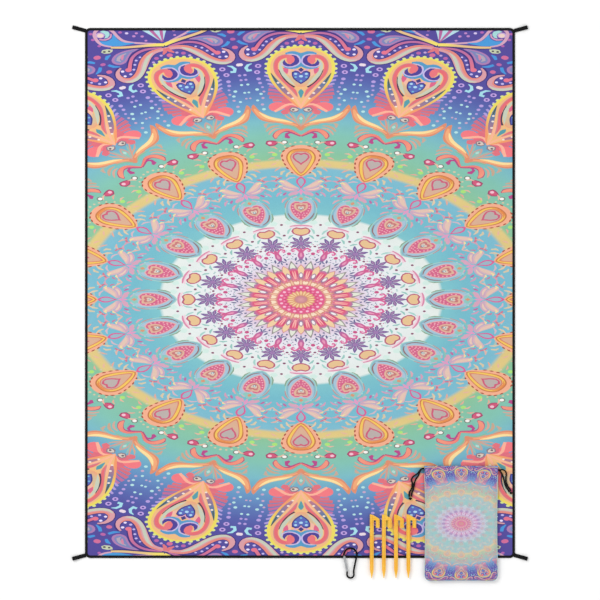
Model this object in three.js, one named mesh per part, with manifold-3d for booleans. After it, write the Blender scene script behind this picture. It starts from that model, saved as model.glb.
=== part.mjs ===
// Camp blanket set: a printed picnic blanket with corner loops, four stakes, a carabiner and a drawstring bag.
// Millimetres, +Z up, +Y towards the blanket's far end, origin under the centre of the blanket.
import * as THREE from "three";
import { mergeVertices } from "three/addons/utils/BufferGeometryUtils.js";
import Module from "manifold-3d";

const wasm = await Module();
wasm.setup();

// ---- driving dimensions ----

const blanket = { width: 1460, length: 1800, cornerRadius: 18, creaseY: 300, creaseGap: 0.5 };
const binding = { width: 9, thickness: 4.5, lip: 0.5, web: 1 };
const clearance = 0.3;
const layers = {
  backing: { low: 0.8, high: 1.3 },
  wadding: { low: 1.6, high: 2.8 },
  face: { low: 3.1, high: 3.7 },
};
const loop = { length: 44.5, width: 13, webbing: 1.3, floor: 1, root: 2.5, tilt: 15, inFromEnd: 9 };
const stake = {
  length: 216, shaftWidth: 13, slotWidth: 7.5, hookWidth: 12.5, hookDrop: 47, headSlope: 13.5,
  slotTop: 20, plate: 4, rib: 3.4, height: 10, tipLength: 28, ribPitch: 13,
};
const stakeTop = { y: -751, base: 4.9 };
const stakeAxes = [243.5, 284.6, 325.7, 367.8];
const hook = {
  x: 171.2, y: -955.3, base: 4.9, wire: 6.4, topRadius: 21.9, lobeRadius: 11.8, span: 67.2,
  gateWidth: 8, pinRadius: 1.2, tongue: 2.2, slot: 3,
};
const bag = {
  x: 546.8, top: -586.5, width: 249.3, length: 391.2, cornerRadius: 20, base: 5, height: 17.6, cloth: 0.8,
  seam: 2.5,
};
const casing = { depth: 21, height: 6.5, wall: 0.45, channelDepth: 12.4, channelFromTop: 11.5 };
const cord = { diameter: 5.4, apart: 6, sides: 8 };

// ---- finishes ----

const finishes = {
  print: { color: 0x8fc9c4, roughness: 0.85, metalness: 0 },
  padding: { color: 0xe8e6e0, roughness: 0.95, metalness: 0 },
  coating: { color: 0x2b2d31, roughness: 0.6, metalness: 0 },
  tape: { color: 0x0c0c0e, roughness: 0.8, metalness: 0 },
  amber: { color: 0xf0a820, roughness: 0.35, metalness: 0 },
  blackMetal: { color: 0x0a0a0b, roughness: 0.3, metalness: 0.6 },
  steel: { color: 0xb9bbbd, roughness: 0.3, metalness: 1 },
  bagPrint: { color: 0xa9cfcb, roughness: 0.85, metalness: 0 },
  cordBlack: { color: 0x0b0b0c, roughness: 0.85, metalness: 0 },
};

const set = new THREE.Group();

function place(name, geometry, finish, parent = set) {
  const mesh = new THREE.Mesh(geometry, new THREE.MeshStandardMaterial(finishes[finish]));
  mesh.name = name;
  parent.add(mesh);
  return mesh;
}

// ---- solids ----

function toSolid(geometry) {
  const bare = geometry.index ? geometry.toNonIndexed() : geometry.clone();
  bare.deleteAttribute("normal");
  bare.deleteAttribute("uv");
  const merged = mergeVertices(bare, 1e-4);
  const triVerts = new Uint32Array(merged.index.array);
  const vertProperties = merged.attributes.position.array;
  return new wasm.Manifold(new wasm.Mesh({ numProp: 3, vertProperties, triVerts }));
}

function toGeometry(solid) {
  const mesh = solid.getMesh();
  const geometry = new THREE.BufferGeometry();
  geometry.setAttribute("position", new THREE.BufferAttribute(mesh.vertProperties, 3));
  geometry.setIndex(new THREE.BufferAttribute(mesh.triVerts, 1));
  geometry.computeVertexNormals();
  return geometry;
}

function extrude(shape, low, high, curveSegments = 6) {
  const geometry = new THREE.ExtrudeGeometry(shape, { depth: high - low, bevelEnabled: false, curveSegments });
  return geometry.translate(0, 0, low);
}

function block(x0, x1, y0, y1, z0, z1) {
  const geometry = new THREE.BoxGeometry(x1 - x0, y1 - y0, z1 - z0);
  return geometry.translate((x0 + x1) / 2, (y0 + y1) / 2, (z0 + z1) / 2);
}

function join(first, ...others) {
  return others.reduce((sum, next) => sum.add(toSolid(next)), toSolid(first));
}

function cut(solid, ...others) {
  return others.reduce((rest, next) => rest.subtract(toSolid(next)), solid);
}

// A round section swept along a curve through the points.
function sweep(points, diameter, steps, sides, tension = 0.5) {
  const curve = new THREE.CatmullRomCurve3(points, false, "catmullrom", tension);
  const section = new THREE.Shape();
  section.absarc(0, 0, diameter / 2, 0, 2 * Math.PI);
  const options = { steps, curveSegments: sides / 2, extrudePath: curve, bevelEnabled: false };
  return new THREE.ExtrudeGeometry(section, options);
}

// ---- blanket ----

// One part of the blanket seen from above, from the crease to its far end. side is 1 for the fold flap and
// -1 for the main part, inset moves the outer edges in, and past lengthens it over the crease.
function panelShape(side, inset, past = 0) {
  const half = blanket.width / 2 - inset;
  const end = blanket.length / 2 - inset;
  const radius = Math.max(blanket.cornerRadius - inset, 1);
  const crease = blanket.creaseY * side + blanket.creaseGap - past;
  const shape = new THREE.Shape();
  shape.moveTo(-half, crease);
  shape.lineTo(half, crease);
  shape.lineTo(half, end - radius);
  shape.absarc(half - radius, end - radius, radius, 0, Math.PI / 2);
  shape.lineTo(-half + radius, end);
  shape.absarc(-half + radius, end - radius, radius, Math.PI / 2, Math.PI);
  shape.closePath();
  return shape;
}

// The main part is drawn towards +Y like the flap, then turned half round.
function panelPlate(side, inset, low, high, past) {
  const geometry = extrude(panelShape(side, inset, past), low, high);
  return side < 0 ? geometry.rotateZ(Math.PI) : geometry;
}

function backing(side) {
  const { low, high } = layers.backing;
  const edge = panelPlate(side, binding.web + clearance, low, high);
  const middle = panelPlate(side, binding.width + clearance, 0, low + 0.1);
  return toGeometry(join(edge, middle));
}

function edgeBinding(side) {
  const past = 5;
  const groove = panelPlate(side, binding.web, binding.lip, binding.thickness - binding.lip, past);
  const middle = panelPlate(side, binding.width, -1, binding.thickness + 1, past);
  return toGeometry(cut(toSolid(panelPlate(side, 0, 0, binding.thickness)), groove, middle));
}

for (const [part, side] of [["main", -1], ["flap", 1]]) {
  const inset = binding.web + clearance;
  const { face, wadding } = layers;
  place("face_cloth_" + part, panelPlate(side, inset, face.low, face.high), "print");
  place("wadding_" + part, panelPlate(side, inset, wadding.low, wadding.high), "padding");
  place("backing_" + part, backing(side), "coating");
  place("edge_binding_" + part, edgeBinding(side), "tape");
}

// ---- corner loops ----

// Webbing folded double and sewn flat at its root, seen from its side: x runs outwards, y is height.
function loopShape() {
  const { length, webbing, floor, root } = loop;
  const rootTop = floor + 2 * webbing + 0.2;
  const crown = 9.8;
  const middle = (floor + crown) / 2;
  const shape = new THREE.Shape();
  shape.moveTo(root, floor);
  shape.lineTo(length - 6, floor);
  shape.bezierCurveTo(length - 2, floor, length, middle - 2.5, length, middle);
  shape.bezierCurveTo(length, middle + 3, length - 4, crown, length - 9, crown);
  shape.bezierCurveTo(length - 17, crown, 20, rootTop, 11, rootTop);
  shape.lineTo(root, rootTop);
  shape.closePath();

  const eye = new THREE.Path();
  const inner = length - webbing;
  eye.moveTo(15, floor + webbing);
  eye.lineTo(inner - 5, floor + webbing);
  eye.bezierCurveTo(inner - 2, floor + webbing, inner, middle - 2, inner, middle);
  eye.bezierCurveTo(inner, middle + 2.4, inner - 3.4, crown - webbing, inner - 7.7, crown - webbing);
  eye.bezierCurveTo(inner - 16, crown - webbing, 23, floor + webbing + 0.6, 15, floor + webbing);
  shape.holes.push(eye);
  return shape;
}

for (const [row, ySide] of [["top", 1], ["bottom", -1]]) {
  for (const [column, xSide] of [["left", -1], ["right", 1]]) {
    const tilt = THREE.MathUtils.degToRad(loop.tilt) * ySide;
    const geometry = extrude(loopShape(), -loop.width / 2, loop.width / 2, 5).rotateX(Math.PI / 2);
    const mesh = place("corner_loop_" + row + "_" + column, geometry, "tape");
    mesh.position.set((xSide * blanket.width) / 2, ySide * (blanket.length / 2 - loop.inFromEnd), 0);
    mesh.rotation.z = xSide > 0 ? tilt : Math.PI - tilt;
  }
}

// ---- stakes ----

// Seen from above with the shaft's axis on x = 0 and the head's top at y = 0.
function stakeOutline() {
  const half = stake.shaftWidth / 2;
  const slotRight = half + stake.slotWidth;
  const right = slotRight + stake.hookWidth;
  const slotRadius = stake.slotWidth / 2;
  const shape = new THREE.Shape();
  shape.moveTo(-half, -2);
  shape.quadraticCurveTo(-half, 0, -half + 3, 0);
  shape.bezierCurveTo(half, -1, right - 8, -stake.headSlope + 2, right - 3, -stake.headSlope);
  shape.quadraticCurveTo(right, -stake.headSlope - 1, right, -stake.headSlope - 5);
  shape.lineTo(right, -stake.hookDrop + 4);
  shape.quadraticCurveTo(right, -stake.hookDrop, right - 4, -stake.hookDrop);
  shape.lineTo(slotRight, -stake.hookDrop + 2);
  shape.lineTo(slotRight, -stake.slotTop - slotRadius);
  shape.absarc(slotRight - slotRadius, -stake.slotTop - slotRadius, slotRadius, 0, Math.PI);
  shape.lineTo(half, -stake.length + stake.tipLength);
  shape.lineTo(1, -stake.length);
  shape.lineTo(-1, -stake.length);
  shape.lineTo(-half, -stake.length + stake.tipLength);
  shape.closePath();
  return shape;
}

// The stake from its side: full height down the shaft, then narrowing to the tip.
function stakeProfile() {
  const { length, height, tipLength } = stake;
  const shape = new THREE.Shape();
  shape.moveTo(1, 0);
  shape.lineTo(1, height);
  shape.lineTo(-length + tipLength, height);
  shape.lineTo(-length - 1, height / 2 + 0.8);
  shape.lineTo(-length - 1, height / 2 - 0.8);
  shape.lineTo(-length + tipLength, 0);
  shape.closePath();
  const half = stake.shaftWidth + stake.slotWidth + stake.hookWidth;
  const geometry = new THREE.ExtrudeGeometry(shape, { depth: 2 * half, bevelEnabled: false });
  return geometry.translate(0, 0, -half).rotateX(Math.PI / 2).rotateZ(Math.PI / 2);
}

function stakeGeometry() {
  const { height, plate, rib, shaftWidth, slotWidth, length, tipLength, ribPitch, slotTop } = stake;
  const low = (height - plate) / 2;
  const outline = extrude(stakeOutline(), low, low + plate, 4);
  const spine = block(-rib / 2, rib / 2, -length, -3, 0, height);
  const right = shaftWidth / 2 + slotWidth + stake.hookWidth;
  const bridge = block(-rib / 2, right - 2, -slotTop + 0.5, -stake.headSlope - 2.5, 0.6, height - 0.6);
  const drop = block(right - 8, right - 4.5, -stake.hookDrop + 4, -slotTop + 2, 0.6, height - 0.6);
  const count = Math.floor((length - tipLength - slotTop - 8) / ribPitch);
  const crossRibs = Array.from({ length: count }, (_, i) => {
    const y = -slotTop - 14 - i * ribPitch;
    return block(-shaftWidth / 2, shaftWidth / 2, y - 1, y + 1, 1.2, height - 1.2);
  });
  return toGeometry(join(outline, spine, bridge, drop, ...crossRibs).intersect(toSolid(stakeProfile())));
}

const stakeSolid = stakeGeometry();
stakeAxes.forEach((x, i) => {
  const mesh = place("stake_" + (i + 1), stakeSolid.clone(), "amber");
  mesh.position.set(x, stakeTop.y, stakeTop.base);
});

// ---- carabiner, with the small lobe's centre at its origin and its wire's mid plane on z = 0 ----

const clip = new THREE.Group();
clip.position.set(hook.x, hook.y, hook.base + hook.wire / 2);
set.add(clip);

const pivot = new THREE.Vector2(-11.2, 14);
const nose = new THREE.Vector2(-21.6, 63.5);
const gateLine = nose.clone().sub(pivot);
const gateAngle = gateLine.angle();

// A slab along the gate's own line: along is measured from the pivot, across from the gate's middle line.
function gateSlab(along0, along1, across0, across1, z0, z1) {
  const slab = block(along0, along1, across0, across1, z0, z1);
  return slab.rotateZ(gateAngle).translate(pivot.x, pivot.y, 0);
}

function gateRod(along0, along1, radius, sides = 12) {
  const rod = new THREE.CylinderGeometry(radius, radius, along1 - along0, sides).rotateZ(-Math.PI / 2);
  rod.translate((along0 + along1) / 2, 0, 0);
  return rod.rotateZ(gateAngle).translate(pivot.x, pivot.y, 0);
}

function pivotPlug(radius, half, sides = 16) {
  return new THREE.CylinderGeometry(radius, radius, 2 * half, sides).rotateX(Math.PI / 2)
    .translate(pivot.x, pivot.y, 0);
}

function arcPoints(centreY, radius, from, to, count) {
  return Array.from({ length: count }, (_, i) => {
    const angle = THREE.MathUtils.degToRad(from + ((to - from) * i) / (count - 1));
    return new THREE.Vector3(radius * Math.cos(angle), centreY + radius * Math.sin(angle), 0);
  });
}

function carabinerBody() {
  const route = [
    new THREE.Vector3(-21.7, nose.y + 0.5, 0),
    ...arcPoints(hook.span, hook.topRadius, 178, 0, 13),
    new THREE.Vector3(17.4, 45, 0),
    new THREE.Vector3(12.9, 23, 0),
    new THREE.Vector3(11.1, 12, 0),
    ...arcPoints(0, hook.lobeRadius, 8, -188, 13),
    new THREE.Vector3(-11.3, 8.6, 0),
  ];
  const wire = sweep(route, hook.wire, 64, 10);
  const half = hook.tongue / 2;
  const tongue = block(pivot.x - 2.8, pivot.x + 2.8, 5, pivot.y, -half, half);
  const bar = join(wire, tongue, pivotPlug(2.8, half));
  const slot = block(-24.1, -15, nose.y - 2, 71, -hook.slot / 2, hook.slot / 2);
  return toGeometry(cut(bar, slot, pivotPlug(hook.pinRadius + clearance, 3)));
}

function carabinerGate() {
  const half = hook.gateWidth / 2;
  const halfWire = hook.wire / 2;
  const reach = gateLine.length() - 1.6;
  const barrel = gateSlab(0, reach - half, -half, half, -halfWire + 0.6, halfWire - 0.6);
  const tip = new THREE.CylinderGeometry(half, half, hook.wire - 1.2, 16).rotateX(Math.PI / 2)
    .translate(reach - half, 0, 0).rotateZ(gateAngle).translate(pivot.x, pivot.y, 0);
  const tongueHalf = hook.slot / 2 - clearance;
  const tongue = gateSlab(reach - 5, reach + 4.6, -1.2, 1.2, -tongueHalf, tongueHalf);
  const solid = join(barrel, tip, pivotPlug(half, halfWire - 0.6), tongue);
  const fork = pivotPlug(half + 1, hook.tongue / 2 + clearance);
  const bore = gateRod(3, 24, 1.5);
  const grooves = [1, -1].map((face) => {
    const low = face > 0 ? halfWire - 1.1 : -halfWire;
    return gateSlab(9, reach - 7, -1.2, 1.2, low, low + 1.1);
  });
  return toGeometry(cut(solid, fork, bore, pivotPlug(hook.pinRadius + clearance, 4), ...grooves));
}

function coil(radius, wire, from, to, turns) {
  const perTurn = 8;
  const points = Array.from({ length: turns * perTurn + 1 }, (_, i) => {
    const angle = (2 * Math.PI * i) / perTurn;
    const along = from + ((to - from) * i) / (turns * perTurn);
    return new THREE.Vector3(along, radius * Math.cos(angle), radius * Math.sin(angle));
  });
  return sweep(points, wire, turns * perTurn, 6).rotateZ(gateAngle).translate(pivot.x, pivot.y, 0);
}

place("carabiner_body", carabinerBody(), "blackMetal", clip);
place("carabiner_gate", carabinerGate(), "steel", clip);
place("gate_pivot_pin", pivotPlug(hook.pinRadius, hook.wire / 2 - 0.4, 16), "steel", clip);
place("gate_plunger", gateRod(4.8, 8, 1.1, 12), "steel", clip);
place("gate_spring", coil(0.8, 0.4, 8.6, 23.4, 7), "steel", clip);

// ---- bag ----

// The bag's outline below its casings, with two round corners at the bottom.
function bagShape(inset) {
  const half = bag.width / 2 - inset;
  const top = bag.top - casing.depth - clearance;
  const bottom = bag.top - bag.length + inset;
  const radius = bag.cornerRadius - inset;
  const shape = new THREE.Shape();
  shape.moveTo(bag.x + half, top);
  shape.lineTo(bag.x - half, top);
  shape.lineTo(bag.x - half, bottom + radius);
  shape.absarc(bag.x - half + radius, bottom + radius, radius, Math.PI, 1.5 * Math.PI);
  shape.lineTo(bag.x + half - radius, bottom);
  shape.absarc(bag.x + half - radius, bottom + radius, radius, 1.5 * Math.PI, 2 * Math.PI);
  shape.closePath();
  return shape;
}

function bagSeam() {
  const low = bag.base + bag.cloth + clearance;
  const high = bag.base + bag.height - bag.cloth - clearance;
  const outer = toSolid(extrude(bagShape(0), low, high));
  const mouth = bag.top - casing.depth;
  const half = bag.width / 2 - bag.seam;
  const inner = extrude(bagShape(bag.seam), low - 1, high + 1);
  const throat = block(bag.x - half, bag.x + half, mouth - 30, mouth + 1, low - 1, high + 1);
  return toGeometry(cut(outer, inner, throat));
}

// A flat sewn tunnel across the bag's mouth, with a drawcord channel through it along X.
function bagCasing(low) {
  const half = bag.width / 2;
  const centre = bag.top - casing.channelFromTop;
  const deep = casing.channelDepth / 2;
  const tunnel = block(bag.x - half, bag.x + half, bag.top - casing.depth, bag.top, low, low + casing.height);
  const floor = low + casing.wall;
  const roof = low + casing.height - casing.wall;
  const channel = block(bag.x - half - 1, bag.x + half + 1, centre - deep, centre + deep, floor, roof);
  return toGeometry(cut(toSolid(tunnel), channel));
}

const frontCasingLow = bag.base + bag.height - casing.height;
place("bag_back_panel", extrude(bagShape(0), bag.base, bag.base + bag.cloth), "bagPrint");
place("bag_side_seam", bagSeam(), "bagPrint");
const frontLow = bag.base + bag.height - bag.cloth;
place("bag_front_panel", extrude(bagShape(0), frontLow, frontLow + bag.cloth), "bagPrint");
place("bag_back_casing", bagCasing(bag.base), "bagPrint");
place("bag_front_casing", bagCasing(frontCasingLow), "bagPrint");

// ---- drawcords ----

const frontRunZ = frontCasingLow + casing.height / 2;
const backRunZ = bag.base + casing.height / 2;
const channelY = bag.top - casing.channelFromTop;

// The stretch of a cord inside a casing, from its exit to just short of the casing's other end.
function cordRun(name, side, z) {
  const mouth = bag.x + (side * bag.width) / 2;
  const length = bag.width - 12;
  const run = new THREE.CylinderGeometry(cord.diameter / 2, cord.diameter / 2, length, 10).rotateZ(Math.PI / 2);
  run.translate(mouth - (side * length) / 2, channelY - (side * cord.apart) / 2, z);
  place(name, run, "cordBlack");
}

function cordTube(name, points, steps) {
  const route = points.map(([x, y, z]) => new THREE.Vector3(x, y, z));
  place(name, sweep(route, cord.diameter, steps, cord.sides), "cordBlack");
}

function knot(name, x, y, z, width, length, height) {
  const ball = new THREE.SphereGeometry(0.5, 12, 8).scale(width, length, height);
  place(name, ball.translate(x, y, z), "cordBlack");
}

// Each free strand is a list of points laid by hand: two strands a side from the casings to the slip knot,
// then two tails to the end knot.
const strands = {
  left_strand_front: [
    [421.4, -595, 19.35], [415, -595.5, 19.1], [407.6, -600.6, 17.2], [401.5, -609.4, 14.8],
    [394, -616.2, 12.5], [385.6, -622, 10.1], [379.4, -630.2, 8.7], [378.2, -637.6, 8.1],
    [380.6, -643.6, 8.1],
  ],
  left_strand_back: [
    [421.4, -595, 8.25], [415.4, -595.7, 8.3], [409.6, -600.6, 8.1], [405.4, -611, 7.8], [400.4, -622, 7.8],
    [393.4, -632, 7.8], [389, -643, 8.1],
  ],
  left_tail_front: [
    [380, -660.4, 8], [377.2, -666.6, 7.8], [372.4, -675, 7.8], [370.2, -683.6, 7.8], [371, -691.6, 7.9],
  ],
  left_tail_back: [
    [386.2, -660.4, 8], [384, -667.4, 7.8], [381.2, -675.4, 7.8], [379.2, -683.8, 7.8], [377.8, -691.6, 7.9],
  ],
  right_strand_front: [
    [672.2, -601, 19.35], [678.4, -600.4, 19.1], [686.6, -599.4, 17.2], [694.2, -602.4, 14],
    [699.2, -609, 11.5], [700.2, -617.4, 9.3], [699, -628, 8.3], [699.9, -641.6, 8.1],
  ],
  right_strand_back: [
    [672.2, -601, 8.25], [677.2, -601.6, 8.2], [682, -608.4, 7.8], [686.4, -617, 7.8], [690.4, -627, 7.8],
    [693.8, -642, 8.1],
  ],
  right_tail_front: [[705.6, -656.6, 8], [709.4, -662, 7.8], [713.4, -667.4, 7.8], [716.4, -672.8, 7.9]],
  right_tail_back: [[700, -659.8, 8], [703.8, -665, 7.8], [707.4, -670.4, 7.8], [710.4, -675.8, 7.9]],
};

for (const [name, points] of Object.entries(strands)) cordTube(name, points, 2 * points.length);
for (const [word, side] of [["left", -1], ["right", 1]]) {
  cordRun(word + "_run_front", side, frontRunZ);
  cordRun(word + "_run_back", side, backRunZ);
}
knot("left_slip_knot", 384.3, -652, 9.4, 13, 14, 8.8);
knot("left_end_knot", 374.2, -698, 9.2, 12, 10, 8.4);
knot("right_slip_knot", 698.9, -650.4, 9.4, 13, 14, 8.8);
knot("right_end_knot", 716, -679, 9.2, 10, 9, 8.4);

export default set;
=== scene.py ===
"""Camp blanket set: a printed blanket with a bound edge, four webbing loops, four stakes, a carabiner and a
drawstring bag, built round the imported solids. Metres, +Z up; the print is drawn in millimetres."""
import math

import bmesh
import bpy
import numpy as np
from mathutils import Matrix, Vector
from mathutils.bvhtree import BVHTree
from mathutils.geometry import barycentric_transform, delaunay_2d_cdt


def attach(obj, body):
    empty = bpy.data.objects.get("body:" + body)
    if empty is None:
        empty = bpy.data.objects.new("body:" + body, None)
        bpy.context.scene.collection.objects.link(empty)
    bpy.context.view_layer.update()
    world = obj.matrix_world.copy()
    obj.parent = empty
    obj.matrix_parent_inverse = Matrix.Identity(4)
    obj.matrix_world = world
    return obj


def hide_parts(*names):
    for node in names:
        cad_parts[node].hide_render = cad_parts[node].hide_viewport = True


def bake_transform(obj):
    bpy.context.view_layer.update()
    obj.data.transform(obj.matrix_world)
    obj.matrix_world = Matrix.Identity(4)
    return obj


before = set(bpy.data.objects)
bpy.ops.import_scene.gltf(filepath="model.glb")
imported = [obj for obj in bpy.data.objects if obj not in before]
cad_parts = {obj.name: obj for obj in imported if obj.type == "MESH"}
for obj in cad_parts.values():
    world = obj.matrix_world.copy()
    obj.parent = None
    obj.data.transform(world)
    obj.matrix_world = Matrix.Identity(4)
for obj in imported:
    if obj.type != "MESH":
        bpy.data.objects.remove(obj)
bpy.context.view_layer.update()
scene = bpy.context.scene
scene.view_settings.view_transform = "Standard"
MM = 0.001
TAU = 2 * math.pi

# ---- camera, straight above the blanket ----

VIEW_WIDTH = 2.0376
VIEW_CENTRE = (0, -0.0238)
CAMERA_HEIGHT = 14


def make_camera():
    data = bpy.data.cameras.new("camera")
    data.lens = data.sensor_width * CAMERA_HEIGHT / VIEW_WIDTH
    data.clip_end = 100
    camera = bpy.data.objects.new("camera", data)
    camera.location = (*VIEW_CENTRE, CAMERA_HEIGHT)
    scene.collection.objects.link(camera)
    scene.camera = camera


make_camera()

# ---- curves and tubes ----


def through(points, step, closed=False):
    """A smooth line through the points, with a new point about every step."""
    knots = np.array(points, float)
    count = len(knots)
    line = []
    for i in range(count if closed else count - 1):
        if closed:
            a, b, c, d = (knots[(i + j) % count] for j in (-1, 0, 1, 2))
        else:
            a, b, c, d = (knots[min(max(i + j, 0), count - 1)] for j in (-1, 0, 1, 2))
        parts = max(1, round(float(np.linalg.norm((c - b)[:3])) / step))
        for t in np.arange(parts) / parts:
            bend = (2 * a - 5 * b + 4 * c - d) * t * t + (3 * b - 3 * c + d - a) * t**3
            line.append((2 * b + (c - a) * t + bend) / 2)
    if not closed:
        line.append(knots[-1])
    return np.array(line)


def add_object(name, data):
    made = bpy.data.objects.new(name, data)
    scene.collection.objects.link(made)
    return made


def mesh_object(name, points, faces, smooth=True):
    mesh = bpy.data.meshes.new(name)
    mesh.from_pydata([tuple(p) for p in points], [], [tuple(f) for f in faces])
    mesh.polygons.foreach_set("use_smooth", [smooth] * len(mesh.polygons))
    mesh.update()
    return add_object(name, mesh)


def ring_faces(rings, sides, closed):
    """Quads between rings of points that follow each other; a closed run joins its last ring to the first."""
    faces = []
    for i in range(rings if closed else rings - 1):
        a, b = i * sides, (i + 1) % rings * sides
        faces += [(a + j, a + (j + 1) % sides, b + (j + 1) % sides, b + j) for j in range(sides)]
    if not closed:
        faces += [tuple(range(sides))[::-1], tuple(range((rings - 1) * sides, rings * sides))]
    return faces


def tube(name, line, radius, sides=12, closed=False, flatten=1.0):
    """A round cord along the line."""
    line = [Vector(p) for p in line]
    count = len(line)
    points = []
    across = None
    for i, p in enumerate(line):
        before = line[i - 1] if closed or i else p
        after = line[(i + 1) % count] if closed or i + 1 < count else p
        along = (after - before).normalized()
        if across is None:
            across = along.orthogonal().normalized()
        across = (across - along * across.dot(along)).normalized()
        other = along.cross(across)
        for j in range(sides):
            turn = TAU * j / sides
            points.append(p + (across * math.cos(turn) + other * math.sin(turn) * flatten) * radius)
    return mesh_object(name, points, ring_faces(count, sides, closed))


# ---- drawcords: each strand runs from its casing through a slip knot to an end knot ----

CORD_DIAMETER = 5.4 * MM
CORD_SIDES = 14
KNOT_RINGS = 72
KNOT_SIDES = 10
# The strands' points, and the knots' middles and sizes, in mm.
STRANDS = {
    "left_drawcord_front": [
        (421.4, -595, 19.35), (415, -595.5, 19.1), (407.6, -600.6, 17.2), (401.5, -609.4, 14.8),
        (394, -616.2, 12.5), (385.6, -622, 10.1), (379.4, -630.2, 8.7), (378.2, -637.6, 8.1),
        (380.6, -643.6, 8.1), (380, -660.4, 8), (377.2, -666.6, 7.8), (372.4, -675, 7.8),
        (370.2, -683.6, 7.8), (371, -691.6, 7.9),
    ],
    "left_drawcord_back": [
        (421.4, -595, 8.25), (415.4, -595.7, 8.3), (409.6, -600.6, 8.1), (405.4, -611, 7.8),
        (400.4, -622, 7.8), (393.4, -632, 7.8), (389, -643, 8.1),
        (386.2, -660.4, 8), (384, -667.4, 7.8), (381.2, -675.4, 7.8), (379.2, -683.8, 7.8),
        (377.8, -691.6, 7.9),
    ],
    "right_drawcord_front": [
        (672.2, -601, 19.35), (678.4, -600.4, 19.1), (686.6, -599.4, 17.2), (694.2, -602.4, 14),
        (699.2, -609, 11.5), (700.2, -617.4, 9.3), (699, -628, 8.3), (699.9, -641.6, 8.1),
        (705.6, -656.6, 8), (709.4, -662, 7.8), (713.4, -667.4, 7.8), (716.4, -672.8, 7.9),
    ],
    "right_drawcord_back": [
        (672.2, -601, 8.25), (677.2, -601.6, 8.2), (682, -608.4, 7.8), (686.4, -617, 7.8),
        (690.4, -627, 7.8), (693.8, -642, 8.1),
        (700, -659.8, 8), (703.8, -665, 7.8), (707.4, -670.4, 7.8), (710.4, -675.8, 7.9),
    ],
}
KNOTS = {
    "left_slip_knot": ((384.3, -652, 9.4), (13, 14, 8.8)),
    "left_end_knot": ((374.2, -698, 9.2), (12, 10, 8.4)),
    "right_slip_knot": ((698.9, -650.4, 9.4), (13, 14, 8.8)),
    "right_end_knot": ((716, -679, 9.2), (10, 9, 8.4)),
}


def make_strand(name, points):
    line = through(np.array(points) * MM, 2 * MM)
    made = tube(name, line, CORD_DIAMETER / 2, CORD_SIDES)
    length = float(np.linalg.norm(np.diff(line, axis=0), axis=1).sum())
    return made, line, length


def make_knot(name, centre, size):
    """An overhand knot pulled tight: a closed three-lobed run of cord pressed into the knot's box."""
    radius = CORD_DIAMETER / 2
    turns = np.linspace(0, TAU, KNOT_RINGS, endpoint=False)
    across = np.sin(turns) + 2 * np.sin(2 * turns)
    along = np.cos(turns) - 2 * np.cos(2 * turns)
    lobes = np.column_stack([across, along, -np.sin(3 * turns)])
    reach = np.abs(lobes).max(0)
    room = np.array(size) * MM / 2 - radius
    line = lobes / reach * room + np.array(centre) * MM
    made = tube(name + "_wraps", line, radius, KNOT_SIDES, closed=True)
    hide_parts(name)
    return made


knots = {name: make_knot(name, *where) for name, where in KNOTS.items()}
strands = {}
for name, points in STRANDS.items():
    side, _, face = name.split("_")
    made, line, length = make_strand(name, points)
    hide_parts(f"{side}_strand_{face}", f"{side}_tail_{face}")
    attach(made, side + "_drawcord")
    strands[name] = made
for name, made in knots.items():
    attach(made, name.split("_")[0] + "_drawcord")

# ---- the print: a half wedge of a mandala of twenty, drawn from its axis (x 0) outwards (y), in mm ----

WEDGES = 20
HALF_ANGLE = math.pi / WEDGES
PRINT_LIMIT = 1026
STRETCH = 1.655
PRINT_CENTRE = (3.4, -22.1)


def linear(colour):
    """A hex colour as linear light."""
    shade = np.array([int(colour[i : i + 2], 16) for i in (0, 2, 4)]) / 255
    return np.where(shade <= 0.04045, shade / 12.92, ((shade + 0.055) / 1.055) ** 2.4)


class Drawing:
    """Painted shapes, later ones on top. step is the length of an outline's pieces, and least the smallest
    motif that is drawn."""

    def __init__(self, step, least=0):
        self.step = step
        self.least = least
        self.shapes = []

    def add(self, colour, outline, fade):
        outline = np.array(outline, float)
        if min(np.ptp(outline, axis=0)) >= self.least:
            self.shapes.append((colour, outline, fade))

    def fill(self, colour, *points, half=False, fade=None, step=None):
        """A closed shape; half mirrors points that run from the axis round to the axis again."""
        ring = list(points)
        if half:
            ring += [(-x, y) for x, y in reversed(points) if x]
        self.add(colour, through(ring, step or self.step, closed=True), fade)

    def band(self, colour, *points, fade=None):
        """A ribbon along points (x, y, half width)."""
        line = through(points, self.step * 0.9)
        along = np.gradient(line[:, :2], axis=0)
        along /= np.maximum(np.linalg.norm(along, axis=1, keepdims=True), 1e-6)
        out = np.column_stack([-along[:, 1], along[:, 0]]) * line[:, 2:]
        self.add(colour, np.vstack([line[:, :2] + out, (line[:, :2] - out)[::-1]]), fade)

    def dot(self, colour, *spots, sides=9):
        """Round spots (x, y, radius)."""
        turn = np.arange(sides) / sides * TAU
        for x, y, radius in spots:
            self.add(colour, np.column_stack([x + radius * np.cos(turn), y + radius * np.sin(turn)]), None)


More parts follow.
